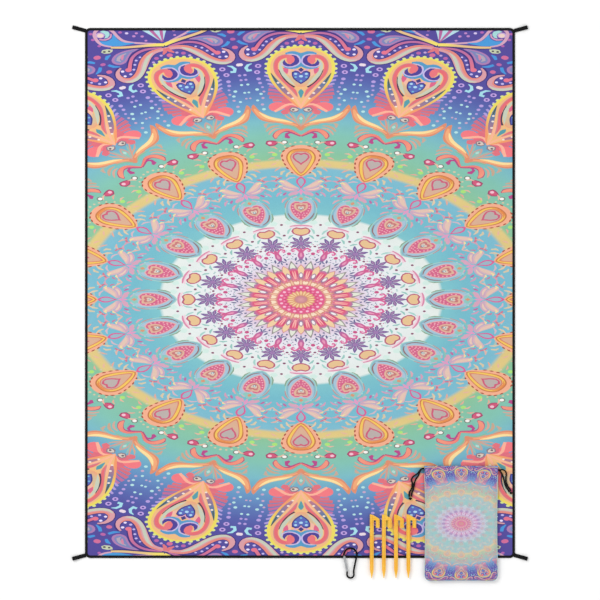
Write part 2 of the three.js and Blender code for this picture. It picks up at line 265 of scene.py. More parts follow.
def draw_outer_field(draw):
    draw.fill("B8DCE8", (3, 924), (15, 947), (27, 968), (39, 988), (21, 992), (12, 964), (4, 937))
    draw.fill("B8DCE8", (0, 924), (5, 954), (7, 992), half=True)
    draw.band("B868A0", (1, 920, 1), (6, 944, 3.1), (13, 975, 3.7), (16, 992, 3.4))
    draw.band("D8A8C0", (14, 918, 1.7), (41, 928, 2.7), (63, 938, 3.1), (77, 950, 3.4), (83, 968, 3.4),
         (87, 987, 3.7), (98, 1000, 3.7), (114, 1000, 3.7), (125, 988, 3.7), (127, 968, 3.7),
         (121, 949, 3.7),
         (105, 936, 2.7))
    draw.fill("4C9CDC", (54, 933), (73, 941), (84, 953), (88, 976), (95, 963), (109, 957), (123, 962),
         (120, 951), (109, 941), (88, 933))
    draw.fill("6A4C9C", (90, 981), (96, 994), (109, 997), (120, 990), (123, 975), (119, 966), (107, 962),
         (96, 967))
    draw.fill("A8DCDC", (95, 987), (104, 994), (112, 992), (105, 983), (105, 975), (110, 967), (102, 968),
         (96, 975))
    draw.band("D8A0C0", (92, 978, 1.4), (97, 967, 2), (109, 962, 2.4), (121, 967, 1.7))
    draw.dot("C8A8D8", (115, 980, 9.8))
    draw.dot("F0D4C8", (115, 979, 6.8))
    draw.dot("D8C8F0", (61, 970, 3.7))
    draw.dot("B868B0", (73, 977, 4.1), (132, 990, 4.1), (134, 970, 4.1), (128, 946, 3.7))
    draw.dot("C48AC8", (42, 964, 3.4), (34, 950, 3.7), (50, 956, 3.7), (48, 980, 3.7), (31, 934, 3.1))
    # yellow arm
    draw.band("3C3070", (0, 906, 5.4), (17, 910, 6.5), (41, 916, 5.8), (65, 920, 5.4), (88, 926, 5.1),
         (109, 933, 2.7))
    draw.band("F4E070", (0, 909, 4.8), (12, 913, 5.1), (31, 917, 4.4), (61, 922, 3.7), (85, 927, 3.7),
         (107, 934, 3.1), fade=((14, 910), (41, 917), "E8C48C"))
    draw.fill("C8D0B0", (105, 926), (115, 931), (126, 931), (131, 924), (126, 918), (115, 916), (108, 920))
    draw.dot("504858", (124, 924, 3.1), (114, 923, 2.7))
    # grey-lilac drop
    draw.fill("B080B4", (53, 912), (75, 915), (95, 912), (109, 905), (119, 892), (118, 880), (107, 872),
         (93, 876), (83, 890), (70, 905))
    draw.fill("8088BC", (61, 911), (78, 911), (95, 908), (106, 901), (114, 890), (113, 882), (105, 877),
         (95, 881), (86, 893), (75, 905))
    draw.band("B4A8B8", (83, 905, 1), (98, 899, 3.4), (106, 888, 3.7), (102, 882, 1))
    draw.band("D888A8", (90, 903, 1.4), (95, 895, 3.1), (98, 886, 1.4))
    # pink arm with its ball
    draw.band("43367E", (14, 900, 2), (41, 905, 6.5), (59, 900, 7.1), (75, 888, 7.1), (85, 871, 6.8),
         (92, 854, 6.8))
    draw.band("C070A0", (7, 901, 2), (24, 904, 3.1), (41, 905, 3.4), (59, 900, 3.4), (75, 888, 3.4),
         (85, 871, 3.7), (93, 852, 4.1), fade=((68, 897), (88, 859), "E07890"))
    # striped arm and hook
    draw.band("43367E", (0, 895, 3.4), (27, 893, 8.2), (45, 881, 11.2), (60, 860, 11.9), (72, 840, 11.5),
         (86, 823, 10.9), (102, 815, 10.2), (115, 820, 9.8), (122, 834, 8.2), (120, 851, 6.5),
         (111, 862, 4.1))
    draw.band("DCA0A8", (0, 895, 4.8), (27, 893, 6.5), (45, 881, 8.8), (60, 860, 9.5), (72, 840, 9.2),
         (86, 823, 8.5), (102, 815, 8.2), (115, 820, 7.5), (122, 834, 5.8), (119, 850, 3.7), (109, 861, 2))
    draw.band("C8CEBC", (31, 890, 0.7), (44, 879, 3.4), (57, 859, 3.7), (69, 837, 3.7), (84, 819, 4.1),
         (101, 811, 3.4), (115, 814, 0.7))
    draw.band("E88C80", (7, 898, 1), (32, 895, 2.7), (51, 883, 3.1), (66, 864, 3.1), (77, 843, 3.1),
         (90, 827, 3.1), (102, 821, 2.7), (112, 824, 2), (117, 835, 1))
    draw.dot("E87890", (96, 850, 6.8))
    draw.dot("C8BCF0", (60, 884, 2.7), (71, 876, 3.1), (78, 863, 3.1), (85, 848, 3.1), (96, 835, 3.4))
    draw.dot("F0E4FF", (109, 849, 3.7), (109, 832, 3.4))
    draw.band("4A98DC", (115, 910, 1), (123, 906, 4.1), (129, 897, 2.7))
    draw.band("4A98DC", (109, 866, 1), (121, 870, 3.7), (130, 879, 3.4))
    draw.dot("D4709C", (143, 910, 6.8), (135, 856, 5.8), (0, 872, 6.5))
    draw.dot("BC68A8", (139, 884, 4.8), (29, 870, 5.1))
    draw.dot("C8A8D8", (39, 859, 3.4), (17, 876, 3.4))
    draw.band("E07880", (1, 897, 4.8), (6, 885, 4.1), (12, 878, 1.7))
    draw.band("A8E0EC", (101, 801, 1), (109, 796, 3.1), (113, 786, 3.7), (109, 777, 4.1), (101, 779, 3.4))
    draw.dot("ECDCE8", (124, 797, 5.1))
    draw.dot("C4A4E4", (88, 793, 6.8), (90, 772, 6.5))
    draw.dot("4C4890", (88, 793, 3.1), (90, 772, 2.7))
    draw.dot("B8A0E0", (87, 749, 4.8), (84, 735, 4.1), (79, 721, 3.1), (72, 787, 2.4), (73, 772, 2.4),
         (115, 762, 3.7), (113, 746, 3.4))
    draw.dot("B8E4E4", (90, 713, 4.1), (82, 698, 3.7), (89, 676, 3.4), (76, 646, 4.1), (109, 730, 3.4),
         (107, 703, 3.1))
    draw.dot("C8A8C8", (76, 706, 3.1), (78, 684, 3.4), (79, 662, 3.7), (104, 683, 2.7))
    for y in (759, 745, 732):
        x = 63 - (757 - y) * 0.25
        draw.band("B4A0DC", (x, y - 5, 1.7), (x + 7, y, 3.1), (x + 12, y + 1, 2.4))


def draw_coral_fan(draw):
    draw.fill("E07080", (3, 655), (20, 645), (37, 649), (41, 666), (36, 686), (42, 710), (31, 700),
         (14, 676))
    for colour, x, y, width in (
        ("B878AC", 65, 725, 3.7), ("C4709C", 67, 713, 4.4), ("D07088", 68, 700, 5.1),
        ("D87080", 65, 687, 5.1),
        ("E07480", 58, 676, 4.4),
    ):
        draw.band(colour, (27, y / 2 + 340, 2), (x / 2 + 14, y - (y - 679) * 0.15, width * 0.8),
             (x, y, width))
    draw.fill("F47C84", (24, 657), (37, 668), (52, 670), (65, 661), (65, 647), (54, 638), (41, 644))
    draw.fill("E47480", (22, 649), (32, 647), (42, 637), (37, 628), (27, 630), (22, 638))
    draw.band("FCB49C", (3, 653, 2), (17, 663, 3.1), (31, 660, 3.4), (42, 649, 3.7), (54, 638, 3.1))
    draw.fill("8C7C88", (3, 645), (9, 653), (20, 653), (25, 644), (16, 635), (7, 637))
    draw.fill("DCCCC0", (5, 645), (11, 650), (18, 651), (22, 644), (16, 638), (9, 640))
    draw.dot("70646C", (16, 644, 3.1))


def draw_heart(draw):
    draw.dot("DCE890", (0, 861, 4.2), (13, 861, 4.2), (26, 857, 4.2), (39, 851, 4.2), (51, 842, 4.2),
         (60, 830, 4.2), (68, 816, 4.2), (71, 800, 4.2), (71, 784, 4.2), (69, 769, 4.2))
    draw.fill("EEDC64", (0, 860), (17, 859), (34, 852), (53, 837), (65, 818), (70, 795), (69, 771),
         (63, 744),
         (51, 718), (37, 695), (20, 670), (7, 654), (0, 647), half=True, fade=((0, 754), (0, 686),
         "F49C6C"))
    draw.fill("F2BE84", (0, 856), (20, 852), (37, 844), (50, 832), (59, 814), (63, 793), (62, 771),
         (57, 748),
         (46, 720), (33, 698), (17, 676), (0, 652), half=True)
    draw.fill("5C7CA4", (62, 769), (56, 744), (45, 719), (33, 698), (18, 681), (16, 687), (26, 706),
         (38, 728),
         (51, 750), fade=((48, 734), (20, 689), "B87C90"))
    draw.band("50604C", (62, 769, 0.7), (54, 749, 1.5), (48, 732, 0.7))
    draw.dot("F4E4D8", (47, 736, 3.1), (37, 720, 3.1), (26, 701, 3.1), (17, 683, 2.7))
    draw.fill("D08890", (15, 827), (31, 833), (46, 826), (55, 810), (57, 788), (53, 767), (43, 747),
         (31, 728),
         (19, 708), (7, 687), (10, 711), (20, 725), (33, 744), (44, 764), (48, 783), (48, 800), (41, 815),
         (30, 823))
    draw.fill("E87078", (15, 825), (31, 830), (44, 825), (53, 809), (55, 788), (51, 767), (41, 747),
         (29, 728),
         (17, 710), (7, 691), (12, 712), (21, 727), (33, 744), (43, 764), (47, 783), (47, 800), (41, 814),
         (30, 821))
    draw.band("504058", (46, 781, 0.7), (41, 765, 1.5), (33, 746, 1.7), (23, 731, 1.7), (13, 721, 2.4))
    draw.fill("C8D0BC", (32, 818), (41, 811), (45, 797), (44, 780), (39, 761), (29, 744), (18, 731),
         (11, 725),
         (16, 737), (24, 751), (32, 767), (38, 784), (39, 798), (35, 810))
    draw.fill("D9BC98", (0, 737), (10, 742), (19, 754), (27, 766), (24, 751), (16, 735), (9, 723),
         (0, 721), half=True, fade=((0, 737), (0, 723), "F0A880"))
    draw.fill("F4BCA8", (19, 756), (26, 763), (32, 774), (27, 786), (20, 781), (20, 767))
    draw.fill("E0688C", (26, 787), (37, 787), (36, 776), (28, 765), (26, 776))
    draw.fill("5A9CC8", (0, 837), (12, 843), (24, 842), (33, 837), (31, 832), (19, 833), (8, 830), (3, 822),
         (2, 812), (3, 801), (8, 794), (17, 791), (29, 790), (38, 794), (33, 786), (19, 782), (9, 784),
         (0, 791), half=True)
    draw.fill("524498", (20, 831), (10, 828), (4, 818), (3, 807), (8, 798), (18, 792), (28, 791), (36, 796),
         (38, 805), (34, 815), (32, 808), (28, 801), (22, 799), (15, 806), (13, 814), (16, 823))
    draw.band("C8BCEC", (29, 833, 0.7), (18, 833, 1.4), (8, 829, 1.7), (3, 819, 1.7), (2, 806, 1.7),
         (8, 796, 1.7), (18, 790, 1.7), (29, 790, 1.7), (38, 795, 1.4), (40, 803, 0.7))
    draw.fill("EC7880", (15, 825), (13, 817), (14, 808), (20, 800), (26, 801), (30, 810), (29, 818),
         (32, 824),
         (24, 828))
    draw.fill("4A4284", (0, 788), (6, 780), (0, 772), half=True)
    draw.band("E0A8CC", (0, 770, 2), (7, 776, 2.7), (16, 782, 2))
    draw.fill("443C84", (0, 767), (5, 775), (12, 777), (19, 772), (19, 761), (15, 748), (7, 738),
         (0, 731), half=True)
    draw.fill("5C6CBC", (0, 763), (5, 771), (12, 773), (16, 769), (17, 761), (13, 751), (6, 741),
         (0, 735), half=True)
    draw.dot("B4DCF4", (11, 766, 3.4), (0, 758, 4.1))
    draw.dot("78BCDC", (11, 755, 2.7), (0, 742, 2.7))
    draw.fill("58A0AC", (0, 715), (4, 710), (6, 704), (4, 696), (0, 683), half=True)
    draw.band("FCB898", (0, 649, 2), (5, 669, 2.4), (14, 691, 2.7), (23, 710, 2), (31, 721, 0.7))


def draw_crescent_wings(draw):
    draw.fill("C8A49C", (0, 633), (7, 622), (9, 611), (5, 598), (0, 584), half=True)
    draw.fill("88C4B8", (0, 627), (4, 619), (5, 611), (3, 602), (0, 594), half=True)
    draw.fill("B8DCD4", (0, 621), (4, 615), (0, 609), half=True)
    draw.fill("E09070", (1, 590), (10, 598), (19, 604), (31, 610), (42, 614), (59, 619), (73, 628),
         (85, 640),
         (98, 662), (102, 645), (95, 630), (88, 616), (79, 607), (65, 602), (51, 600), (37, 597), (26, 592),
         (15, 585), (0, 573))
    draw.band("F4AC7C", (7, 590, 1.4), (27, 600, 3.4), (49, 607, 4.4), (70, 614, 5.1), (85, 628, 5.1),
         (96, 647, 2))
    draw.band("FCE0A0", (17, 600, 0.7), (33, 607, 3.1), (49, 611, 4.1), (65, 617, 4.1), (77, 626, 3.1),
         (86, 636, 0.7))
    draw.band("D8A090", (9, 585, 0.7), (22, 593, 1.5), (37, 595, 0.7))
    draw.band("D8A898", (42, 582, 0.7), (53, 579, 2.4), (62, 569, 2.4), (66, 559, 1))
    draw.band("B8B49C", (54, 598, 0.7), (67, 599, 2), (77, 593, 1.4))
    draw.band("8CBC98", (5, 578, 1), (17, 588, 2), (32, 592, 1.7), (41, 592, 0.7))
    draw.band("C8A890", (44, 590, 1), (56, 588, 3.1), (66, 580, 3.4), (71, 570, 1.7))
    draw.band("CCA898", (69, 596, 1.7), (73, 590, 3.1), (72, 583, 1.4))
    for x, y, colour in ((26, 637, "D89C8C"), (18, 634, "9CBCB0"), (33, 627, "D8A48C")):
        draw.band(colour, (3, 592, 1), (x * 0.45, 608, 1.7), (x * 0.8, y - 10, 1.9), (x, y, 1))
    # moustache
    draw.band("B05880", (0, 555, 3.1), (12, 564, 4.4), (23, 573, 5.4), (36, 574, 6.1), (47, 566, 6.8),
         (53, 554, 6.1), (52, 545, 2))
    draw.band("F08078", (0, 557, 1.4), (12, 566, 2.4), (23, 575, 3.4), (36, 575, 4.4), (47, 566, 5.4),
         (52, 554, 4.4), (52, 547, 1.4), fade=((17, 571), (48, 560), "F49880"))
    draw.band("B84C8C", (13, 563, 1.7), (22, 567, 2.7), (30, 562, 3.7), (29, 552, 5.1), (23, 549, 3.1))
    draw.band("7CC0B4", (33, 564, 0.7), (35, 555, 1.7), (39, 545, 1))


def draw_mid_field(draw):
    draw.dot("78887C", (34, 534, 7.5))
    draw.dot("F8F4F0", (34, 534, 4.8))
    draw.fill("A04C70", (46, 535), (59, 540), (71, 538), (73, 528), (65, 520), (54, 522))
    draw.fill("D45C7C", (48, 535), (59, 537), (69, 536), (70, 529), (64, 523), (56, 524))
    draw.dot("F4C4D4", (64, 531, 4.4))
    draw.dot("ACE47C", (54, 492, 5.8))
    # peacock eye
    draw.dot("D8C8A8", (0, 535, 3.1), (12, 533, 2.7), (22, 528, 2.7), (33, 518, 2.4), (43, 504, 2.4),
         (48, 472, 2.7), (43, 450, 2.7))
    draw.fill("F4B090", (0, 525), (17, 521), (30, 512), (39, 499), (42, 486), (39, 472), (34, 458),
         (26, 443),
         (15, 427), (5, 418), (0, 416), half=True)
    for x, y, lean in (
        (36, 504, -35), (39, 488, -5), (37, 473, 15), (33, 459, 25), (28, 446, 35), (19, 431, 45),
        (29, 514, -55),
        (17, 521, -75),
    ):
        across, up = 4.4 * math.sin(math.radians(lean)), 4.4 * math.cos(math.radians(lean))
        draw.band("A85444", (x + across, y + up, 0.8), (x, y, 2), (x - across, y - up, 0.8))
    draw.fill("C87C4C", (0, 513), (14, 511), (24, 503), (30, 489), (30, 475), (25, 460), (17, 441),
         (7, 424),
         (0, 419), half=True)
    draw.fill("F4C860", (0, 510), (13, 508), (22, 500), (27, 488), (27, 475), (23, 460), (15, 441),
         (6, 427),
         (0, 422), half=True)
    draw.band("E88C50", (0, 508, 2.4), (12, 506, 2), (20, 499, 0.7))
    draw.fill("D8846C", (0, 505), (12, 503), (20, 495), (23, 485), (20, 470), (14, 452), (5, 432),
         (0, 426), half=True)
    draw.fill("CCB4A4", (0, 502), (11, 500), (18, 493), (20, 484), (18, 470), (12, 453), (4, 436),
         (0, 431), half=True, fade=((0, 482), (0, 452), "DCB094"))
    draw.fill("D0607C", (0, 496), (9, 499), (16, 492), (18, 483), (12, 471), (3, 461), (0, 456), half=True)
    draw.fill("BCB0AC", (0, 490), (6, 494), (13, 490), (14, 483), (9, 473), (2, 466), (0, 463), half=True)
    draw.band("E4AC98", (49, 511, 1), (55, 517, 2.4), (63, 518, 0.7))
    draw.band("E8B8A0", (53, 497, 1), (60, 500, 2.4), (68, 498, 0.7))
    draw.band("E4AC98", (54, 481, 1), (60, 480, 2.4), (68, 475, 0.7))
    draw.band("E8B8A0", (50, 464, 1), (56, 460, 2.4), (62, 454, 0.7))
    draw.band("E4AC98", (43, 447, 1), (49, 442, 2.4), (54, 435, 0.7))
    draw.band("E8BCA4", (35, 526, 1), (42, 533, 2.4), (51, 535, 0.7))
    # below the eye
    draw.band("D8C8A8", (33, 437, 1.4), (39, 433, 3.1), (41, 423, 2))
    draw.band("B4C4B4", (12, 423, 1), (22, 426, 2), (32, 420, 1))
    draw.band("D4B8C4", (12, 414, 1), (22, 413, 2.4), (31, 405, 1))
    draw.fill("D8B4BC", (3, 377), (12, 385), (22, 395), (35, 407), (44, 405), (42, 394), (31, 382),
         (17, 376))
    draw.fill("E4C4B4", (8, 381), (17, 388), (27, 397), (36, 403), (38, 397), (29, 386), (17, 380))
    draw.fill("CCA8C0", (3, 375), (15, 377), (29, 380), (41, 387), (46, 382), (37, 372), (24, 367),
         (10, 368))
    draw.fill("E8C8B8", (12, 373), (25, 376), (37, 382), (37, 377), (25, 371))
    draw.fill("D8A4BC", (3, 369), (12, 367), (22, 363), (27, 355), (22, 350), (12, 354), (5, 361))
    draw.band("F0DCA4", (35, 399, 2), (41, 402, 2.7), (46, 399, 1.4))
    draw.band("F0DCA4", (37, 386, 1), (43, 385, 2.4), (46, 380, 1))
    draw.fill("D86498", (0, 418), (5, 414), (10, 406), (10, 397), (4, 385), (0, 376), half=True)
    draw.fill("9CB8C8", (0, 412), (4, 409), (6, 403), (6, 397), (2, 387), (0, 383), half=True)
    draw.fill("E09CC4", (0, 377), (4, 370), (3, 361), (0, 352), half=True)
    draw.band("CC7890", (39, 414, 1.7), (47, 410, 3.1), (53, 401, 1.7))
    draw.band("C87C9C", (46, 392, 1), (50, 389, 2.4), (52, 382, 1))
    draw.band("BC70A4", (30, 363, 1.7), (34, 358, 3.1), (36, 353, 1.4))
    draw.dot("C48CA8", (12, 348, 2.4), (31, 344, 2.4), (43, 369, 2))
    draw.dot("A8D4D8", (20, 343, 2.4), (41, 355, 2.4), (48, 417, 2), (56, 376, 2.4))
    draw.band("E0B4A8", (46, 409, 1), (53, 416, 2.7), (62, 418, 1))
    draw.band("D8A0B0", (48, 397, 1), (56, 403, 2.7), (63, 402, 1))
    draw.band("E0B8AC", (47, 380, 1), (53, 375, 2.7), (58, 366, 1))
    draw.band("D49CB8", (39, 365, 1), (46, 359, 2.7), (50, 349, 1))
    draw.band("DCA8B4", (29, 346, 1), (36, 338, 2.7), (39, 329, 1))
    draw.band("E4C8A8", (19, 436, 1), (28, 426, 2.4), (30, 416, 1))
    draw.band("D8A8B8", (8, 351, 1), (15, 345, 2.4), (17, 339, 1))


def draw_buds(draw):
    draw.fill("A4D0CC", (0, 353), (10, 348), (20, 342), (29, 331), (33, 316), (32, 295), (28, 278),
         (17, 264),
         (0, 254), half=True)
    draw.fill("88B8C8", (0, 350), (10, 346), (19, 340), (27, 329), (30, 316), (30, 297), (26, 281),
         (16, 267),
         (0, 257), half=True)
    draw.fill("A8C4D8", (0, 345), (14, 343), (23, 333), (26, 319), (26, 302), (23, 287), (16, 274),
         (8, 266),
         (0, 261), half=True)
    draw.band("98706C", (3, 264, 0.8), (14, 270, 1.4), (22, 280, 1.5), (27, 293, 0.8))
    draw.band("88A890", (22, 266, 0.8), (30, 278, 1.7), (33, 295, 1))
    draw.band("C08C90", (26, 336, 0.8), (31, 325, 1.4), (33, 310, 0.8))
    draw.band("90C0B4", (12, 355, 1), (22, 350, 2), (32, 338, 1))
    draw.fill("90C8C0", (0, 357), (7, 349), (15, 341), (10, 334), (0, 336), half=True)
    draw.fill("D89878", (0, 348), (5, 342), (0, 336), half=True)
    draw.fill("E4B0AC", (0, 329), (5, 333), (13, 334), (20, 327), (23, 315), (21, 300), (16, 287), (8, 276),
         (0, 268), half=True)
    draw.fill("D4688C", (0, 326), (5, 331), (12, 331), (19, 325), (21, 315), (19, 301), (14, 289), (7, 278),
         (0, 272), half=True)
    draw.dot("F4B4BC", (17, 318, 1.9), (17, 309, 1.9), (15, 301, 1.9), (12, 293, 1.9), (8, 286, 1.9),
         (4, 279, 1.9), (6, 293, 1.7), (3, 287, 1.7), (0, 295, 1.7))
    draw.fill("E0B49C", (0, 326), (5, 327), (13, 327), (15, 317), (11, 305), (0, 297), half=True)
    draw.fill("C87C7C", (0, 320), (4, 323), (10, 321), (9, 310), (0, 301), half=True)
    draw.fill("DCC8B8", (0, 315), (4, 317), (7, 314), (5, 307), (0, 304), half=True, step=5)
    draw.fill("8C9CA4", (0, 313), (3, 311), (3, 306), (0, 304), half=True, step=5)
    draw.dot("F4F4F4", (0, 309, 1.7))


def draw_pale_field(draw):
    draw.fill("D4ECE4", (17, 261), (29, 270), (35, 261), (28, 253))
    draw.band("DC8CAC", (0, 252, 2), (12, 251, 2), (23, 248, 1.4))
    draw.band("F4D0DC", (0, 248, 1.7), (12, 247, 1.7), (24, 243, 1.4))
    draw.fill("BC607C", (0, 242), (10, 245), (17, 240), (20, 232), (17, 224), (9, 218), (0, 215), half=True)
    draw.fill("E8C494", (0, 238), (9, 241), (15, 238), (16, 232), (14, 225), (7, 221), (0, 219), half=True)
    draw.band("A8D4CC", (20, 242, 1), (25, 234, 2.7), (27, 223, 1.4))
    draw.band("98C8C0", (16, 219, 1), (22, 214, 2.7), (26, 206, 1.4))
    draw.dot("8C5470", (40, 253, 3.1), (34, 217, 3.1), (28, 180, 2.7), (19, 177, 1.7))
    for petal in range(9):
        across, up = math.sin(TAU * petal / 9), math.cos(TAU * petal / 9)
        colour = "74609C" if petal % 2 else "84689C"
        tip = 27 if petal in (0, 1, 8) else 23
        draw.band(colour, (0, 190, 1), (7 * across, 190 + 7 * up, 2.2), (15 * across, 190 + 15 * up, 4.7),
                  (tip * across, 190 + tip * up, 1))
        draw.band("A884AC", (8 * across, 190 + 8 * up, 0.7), (14 * across, 190 + 14 * up, 1.7),
                  (20 * across, 190 + 20 * up, 0.7))
    draw.dot("A07CB0", (0, 190, 5.8))
    draw.fill("D06494", (0, 175), (3, 171), (4, 164), (6, 156), (7, 148), (5, 141), (3, 135), (0, 133),
         half=True, fade=((0, 160), (0, 136), "B06CA4"))
    draw.band("70709C", (1, 137, 1), (5, 131, 2), (10, 129, 0.7))
    draw.band("787CA0", (0, 134, 1), (0, 127, 2), (0, 122, 0.7))
    draw.fill("E898B8", (0, 160), (2, 155), (3, 148), (0, 143), half=True, step=5)
    draw.band("D8689C", (3, 161, 1.4), (7, 170, 2.5), (13, 174, 2.7), (19, 169, 2.4), (18, 163, 1.7),
         (14, 162, 1.7))
    draw.dot("E8A0C0", (14, 166, 2.4))
    draw.dot("C85888", (25, 155, 5.1))
    draw.fill("686C90", (9, 145), (13, 139), (12, 131), (9, 134), step=5)
    draw.fill("686C90", (7, 124), (10, 126), (12, 122), (8, 119), step=5)
    draw.dot("787C98", (12, 153, 1.7), (17, 145, 1.7), (16, 155, 1.4), (19, 138, 1.4))
    draw.dot("A8C8C8", (16, 137, 1.7), (20, 149, 1.7), (22, 166, 1.7), (22, 189, 2), (29, 197, 2))
    draw.dot("C87CA0", (20, 179, 2), (25, 186, 1.7))


def draw_centre(draw):
    draw.fill("94908C", (21, 132), (15, 122), (10, 113), (6, 105), (9, 101), (17, 101))
    draw.fill("E4E8D8", (20, 125), (15, 118), (12, 111), (11, 103), (17, 103))
    draw.fill("C8788C", (0, 120), (6, 110), (8, 98), (7, 87), (6, 68), (0, 65), half=True)
    draw.fill("F0D0A4", (0, 117), (5, 109), (7, 98), (5, 90), (3, 83), (0, 82), half=True)
    draw.fill("E4607C", (6, 97), (10, 105), (17, 107), (17, 95), (14, 82), (12, 66), (8, 67), (7, 82),
         fade=((10, 97), (10, 107), "A884B4"))
    draw.band("F8B8B0", (13, 96, 0.7), (11, 83, 1.5), (10, 69, 1))
    draw.band("C84C78", (8, 97, 0.7), (8, 85, 1.2), (8, 75, 0.7))
    draw.fill("9C7C9C", (0, 93), (4, 86), (4, 75), (0, 70), half=True, step=5)
    draw.fill("F4F0F0", (0, 90), (3, 85), (2, 77), (0, 75), half=True, step=5)
    draw.fill("D89C84", (0, 71), (3, 63), (3, 51), (0, 48), half=True, step=5)
    draw.fill("F0C4A4", (0, 67), (2, 60), (2, 53), (0, 51), half=True, step=5)
    draw.fill("D88C80", (3, 63), (6, 66), (10, 65), (10, 48), (6, 47), (3, 53), step=3)
    draw.fill("F8E0C4", (4, 61), (7, 62), (10, 58), (8, 52), (6, 50), (4, 54), step=3)
    draw.fill("E0608C", (0, 49), (3, 48), (8, 48), (8, 27), (0, 27), half=True, step=7)
    draw.dot("F8C0D4", (0, 42, 3.4))
    draw.dot("F090B0", (5, 34, 2))
    draw.fill("D0507C", (0, 37), (2, 33), (2, 26), (0, 25), half=True, step=3)
    draw.fill("D8986C", (0, 31), (3, 25), (2, 15), (0, 12), half=True, step=3)
    draw.fill("F4D0A0", (0, 29), (2, 24), (1, 16), (0, 14), half=True, step=3)


PRINT_PARTS = (
    draw_outer_field, draw_coral_fan, draw_heart, draw_crescent_wings,
    draw_mid_field, draw_buds, draw_pale_field, draw_centre,
)


def encloses(outline, points):
    """Which of the points the outline goes round."""
    x, y = points.T
    turns = np.zeros(len(points), int)
    for (ax, ay), (bx, by) in zip(outline, np.roll(outline, -1, 0)):
        side = (bx - ax) * (y - ay) - (by - ay) * (x - ax)
        turns += (ay <= y) & (by > y) & (side > 0)
        turns -= (ay > y) & (by <= y) & (side < 0)
    return turns != 0


class HalfWedge:
    """The drawing cut into triangles: corner places, corner colours, and alpha 0 where no motif lies."""

    def __init__(self, drawing, spacing):
        lean = math.tan(HALF_ANGLE)
        rows = np.arange(spacing, PRINT_LIMIT, spacing)
        edge = [(0, 0), *((0, y) for y in rows), (0, PRINT_LIMIT)]
        edge += [(PRINT_LIMIT * lean, PRINT_LIMIT), *((y * lean, y) for y in rows[::-1])]
        rings = [np.array(edge, float)] + [outline for _, outline, _ in drawing.shapes]
        for y in rows:
            rings += [np.array([(x, y)]) for x in np.arange(0.5, y / spacing * lean - 0.3) * spacing]
        points, edges = [], []
        for ring in rings:
            first = len(points)
            points += [Vector(p) for p in ring]
            if len(ring) > 1:
                edges += [(first + i, first + (i + 1) % len(ring)) for i in range(len(ring))]
        flat, _, faces, *_ = delaunay_2d_cdt(points, edges, [], 0, 0.25, False)
        places = np.array([tuple(p) for p in flat])
        faces = np.array(faces)
        middles = places[faces].mean(1)
        kept = encloses(rings[0][::-1], middles)
        self.places = places
        self.faces = faces[kept]
        self.paint(drawing, middles[kept])

    def paint(self, drawing, middles):
        corners = self.places[self.faces]
        self.colours = np.zeros((*self.faces.shape, 4), np.float32)
        for colour, outline, fade in drawing.shapes:
            low, high = outline.min(0), outline.max(0)
            near = np.flatnonzero(((middles >= low) & (middles <= high)).all(1))
            inside = near[encloses(outline, middles[near])]
            shade = linear(colour)
            if fade:
                start, other = np.array(fade[0]), linear(fade[2])
                run = np.array(fade[1]) - start
                share = np.clip((corners[inside] - start) @ run / (run @ run), 0, 1)
                shade = shade + (other - shade) * share[..., None]
            self.colours[inside, :, :3] = shade
            self.colours[inside, :, 3] = 1

    def spread(self, centre, scale, half_size):
        """Every copy round the centre that reaches a rectangle of that half size round the origin."""
        used, faces = np.unique(self.faces, return_inverse=True)
        faces = faces.reshape(-1, 3)
        x, y = self.places[used].T
        placed, design, linked, painted = [], [], [], []
        count = 0
        for copy in range(2 * WEDGES):
            turn = copy // 2 * 2 * HALF_ANGLE
            side = 1 if copy % 2 else -1
            across = x * side * math.cos(turn) + y * math.sin(turn)
            up = y * math.cos(turn) - x * side * math.sin(turn)
            spot = np.column_stack([centre[0] + across * STRETCH * scale[0], centre[1] + up * scale[1]])
            triangles = faces if side > 0 else faces[:, ::-1]
            colours = self.colours if side > 0 else self.colours[:, ::-1]
            corners = spot[triangles]
            near = ((corners.max(1) > -np.array(half_size)) & (corners.min(1) < np.array(half_size))).all(1)
            placed.append(spot)
            design.append(np.column_stack([across, up]) / PRINT_LIMIT)
            linked.append(triangles[near] + count)
            painted.append(colours[near])
            count += len(spot)
        return np.vstack(placed), np.vstack(design), np.vstack(linked), np.vstack(painted)


def cut_across(sheet, cuts):
    """Straight cuts (point, direction, keep both sides) across a flat sheet."""
    for point, direction, both in cuts:
        bmesh.ops.bisect_plane(
            sheet, geom=[*sheet.verts, *sheet.edges, *sheet.faces], dist=1e-6, plane_co=(*point, 0),
            plane_no=(*direction, 0), clear_outer=not both,
        )


def printed_sheet(name, wedge, centre, scale, half_size, cuts):
    """A flat sheet with the print in its corner colours and the design's own coordinates as its UVs."""
    placed, design, linked, painted = wedge.spread(centre, scale, half_size)
    mesh = bpy.data.meshes.new(name)
    mesh.vertices.add(len(placed))
    places = np.column_stack([placed * MM, np.zeros(len(placed))])
    mesh.vertices.foreach_set("co", places.astype(np.float32).ravel())
    mesh.loops.add(linked.size)
    mesh.loops.foreach_set("vertex_index", linked.astype(np.int32).ravel())
    mesh.polygons.add(len(linked))
    mesh.polygons.foreach_set("loop_start", np.arange(0, linked.size, 3, dtype=np.int32))
    mesh.update(calc_edges=True)
    colours = mesh.attributes.new("Print", "BYTE_COLOR", "CORNER")
    colours.data.foreach_set("color", painted.astype(np.float32).ravel())
    field = mesh.uv_layers.new(name="Design")
    field.uv.foreach_set("vector", design[linked].astype(np.float32).ravel())
    sheet = bmesh.new()
    sheet.from_mesh(mesh)
    bmesh.ops.remove_doubles(sheet, verts=sheet.verts, dist=0.03 * MM)
    cut_across(sheet, cuts)
    bmesh.ops.triangulate(sheet, faces=[f for f in sheet.faces if len(f.verts) > 3])
    for face in sheet.faces:
        face.smooth = True
        if face.normal.z < 0:
            face.normal_flip()
    sheet.to_mesh(mesh)
    sheet.free()
    return add_object(name, mesh)


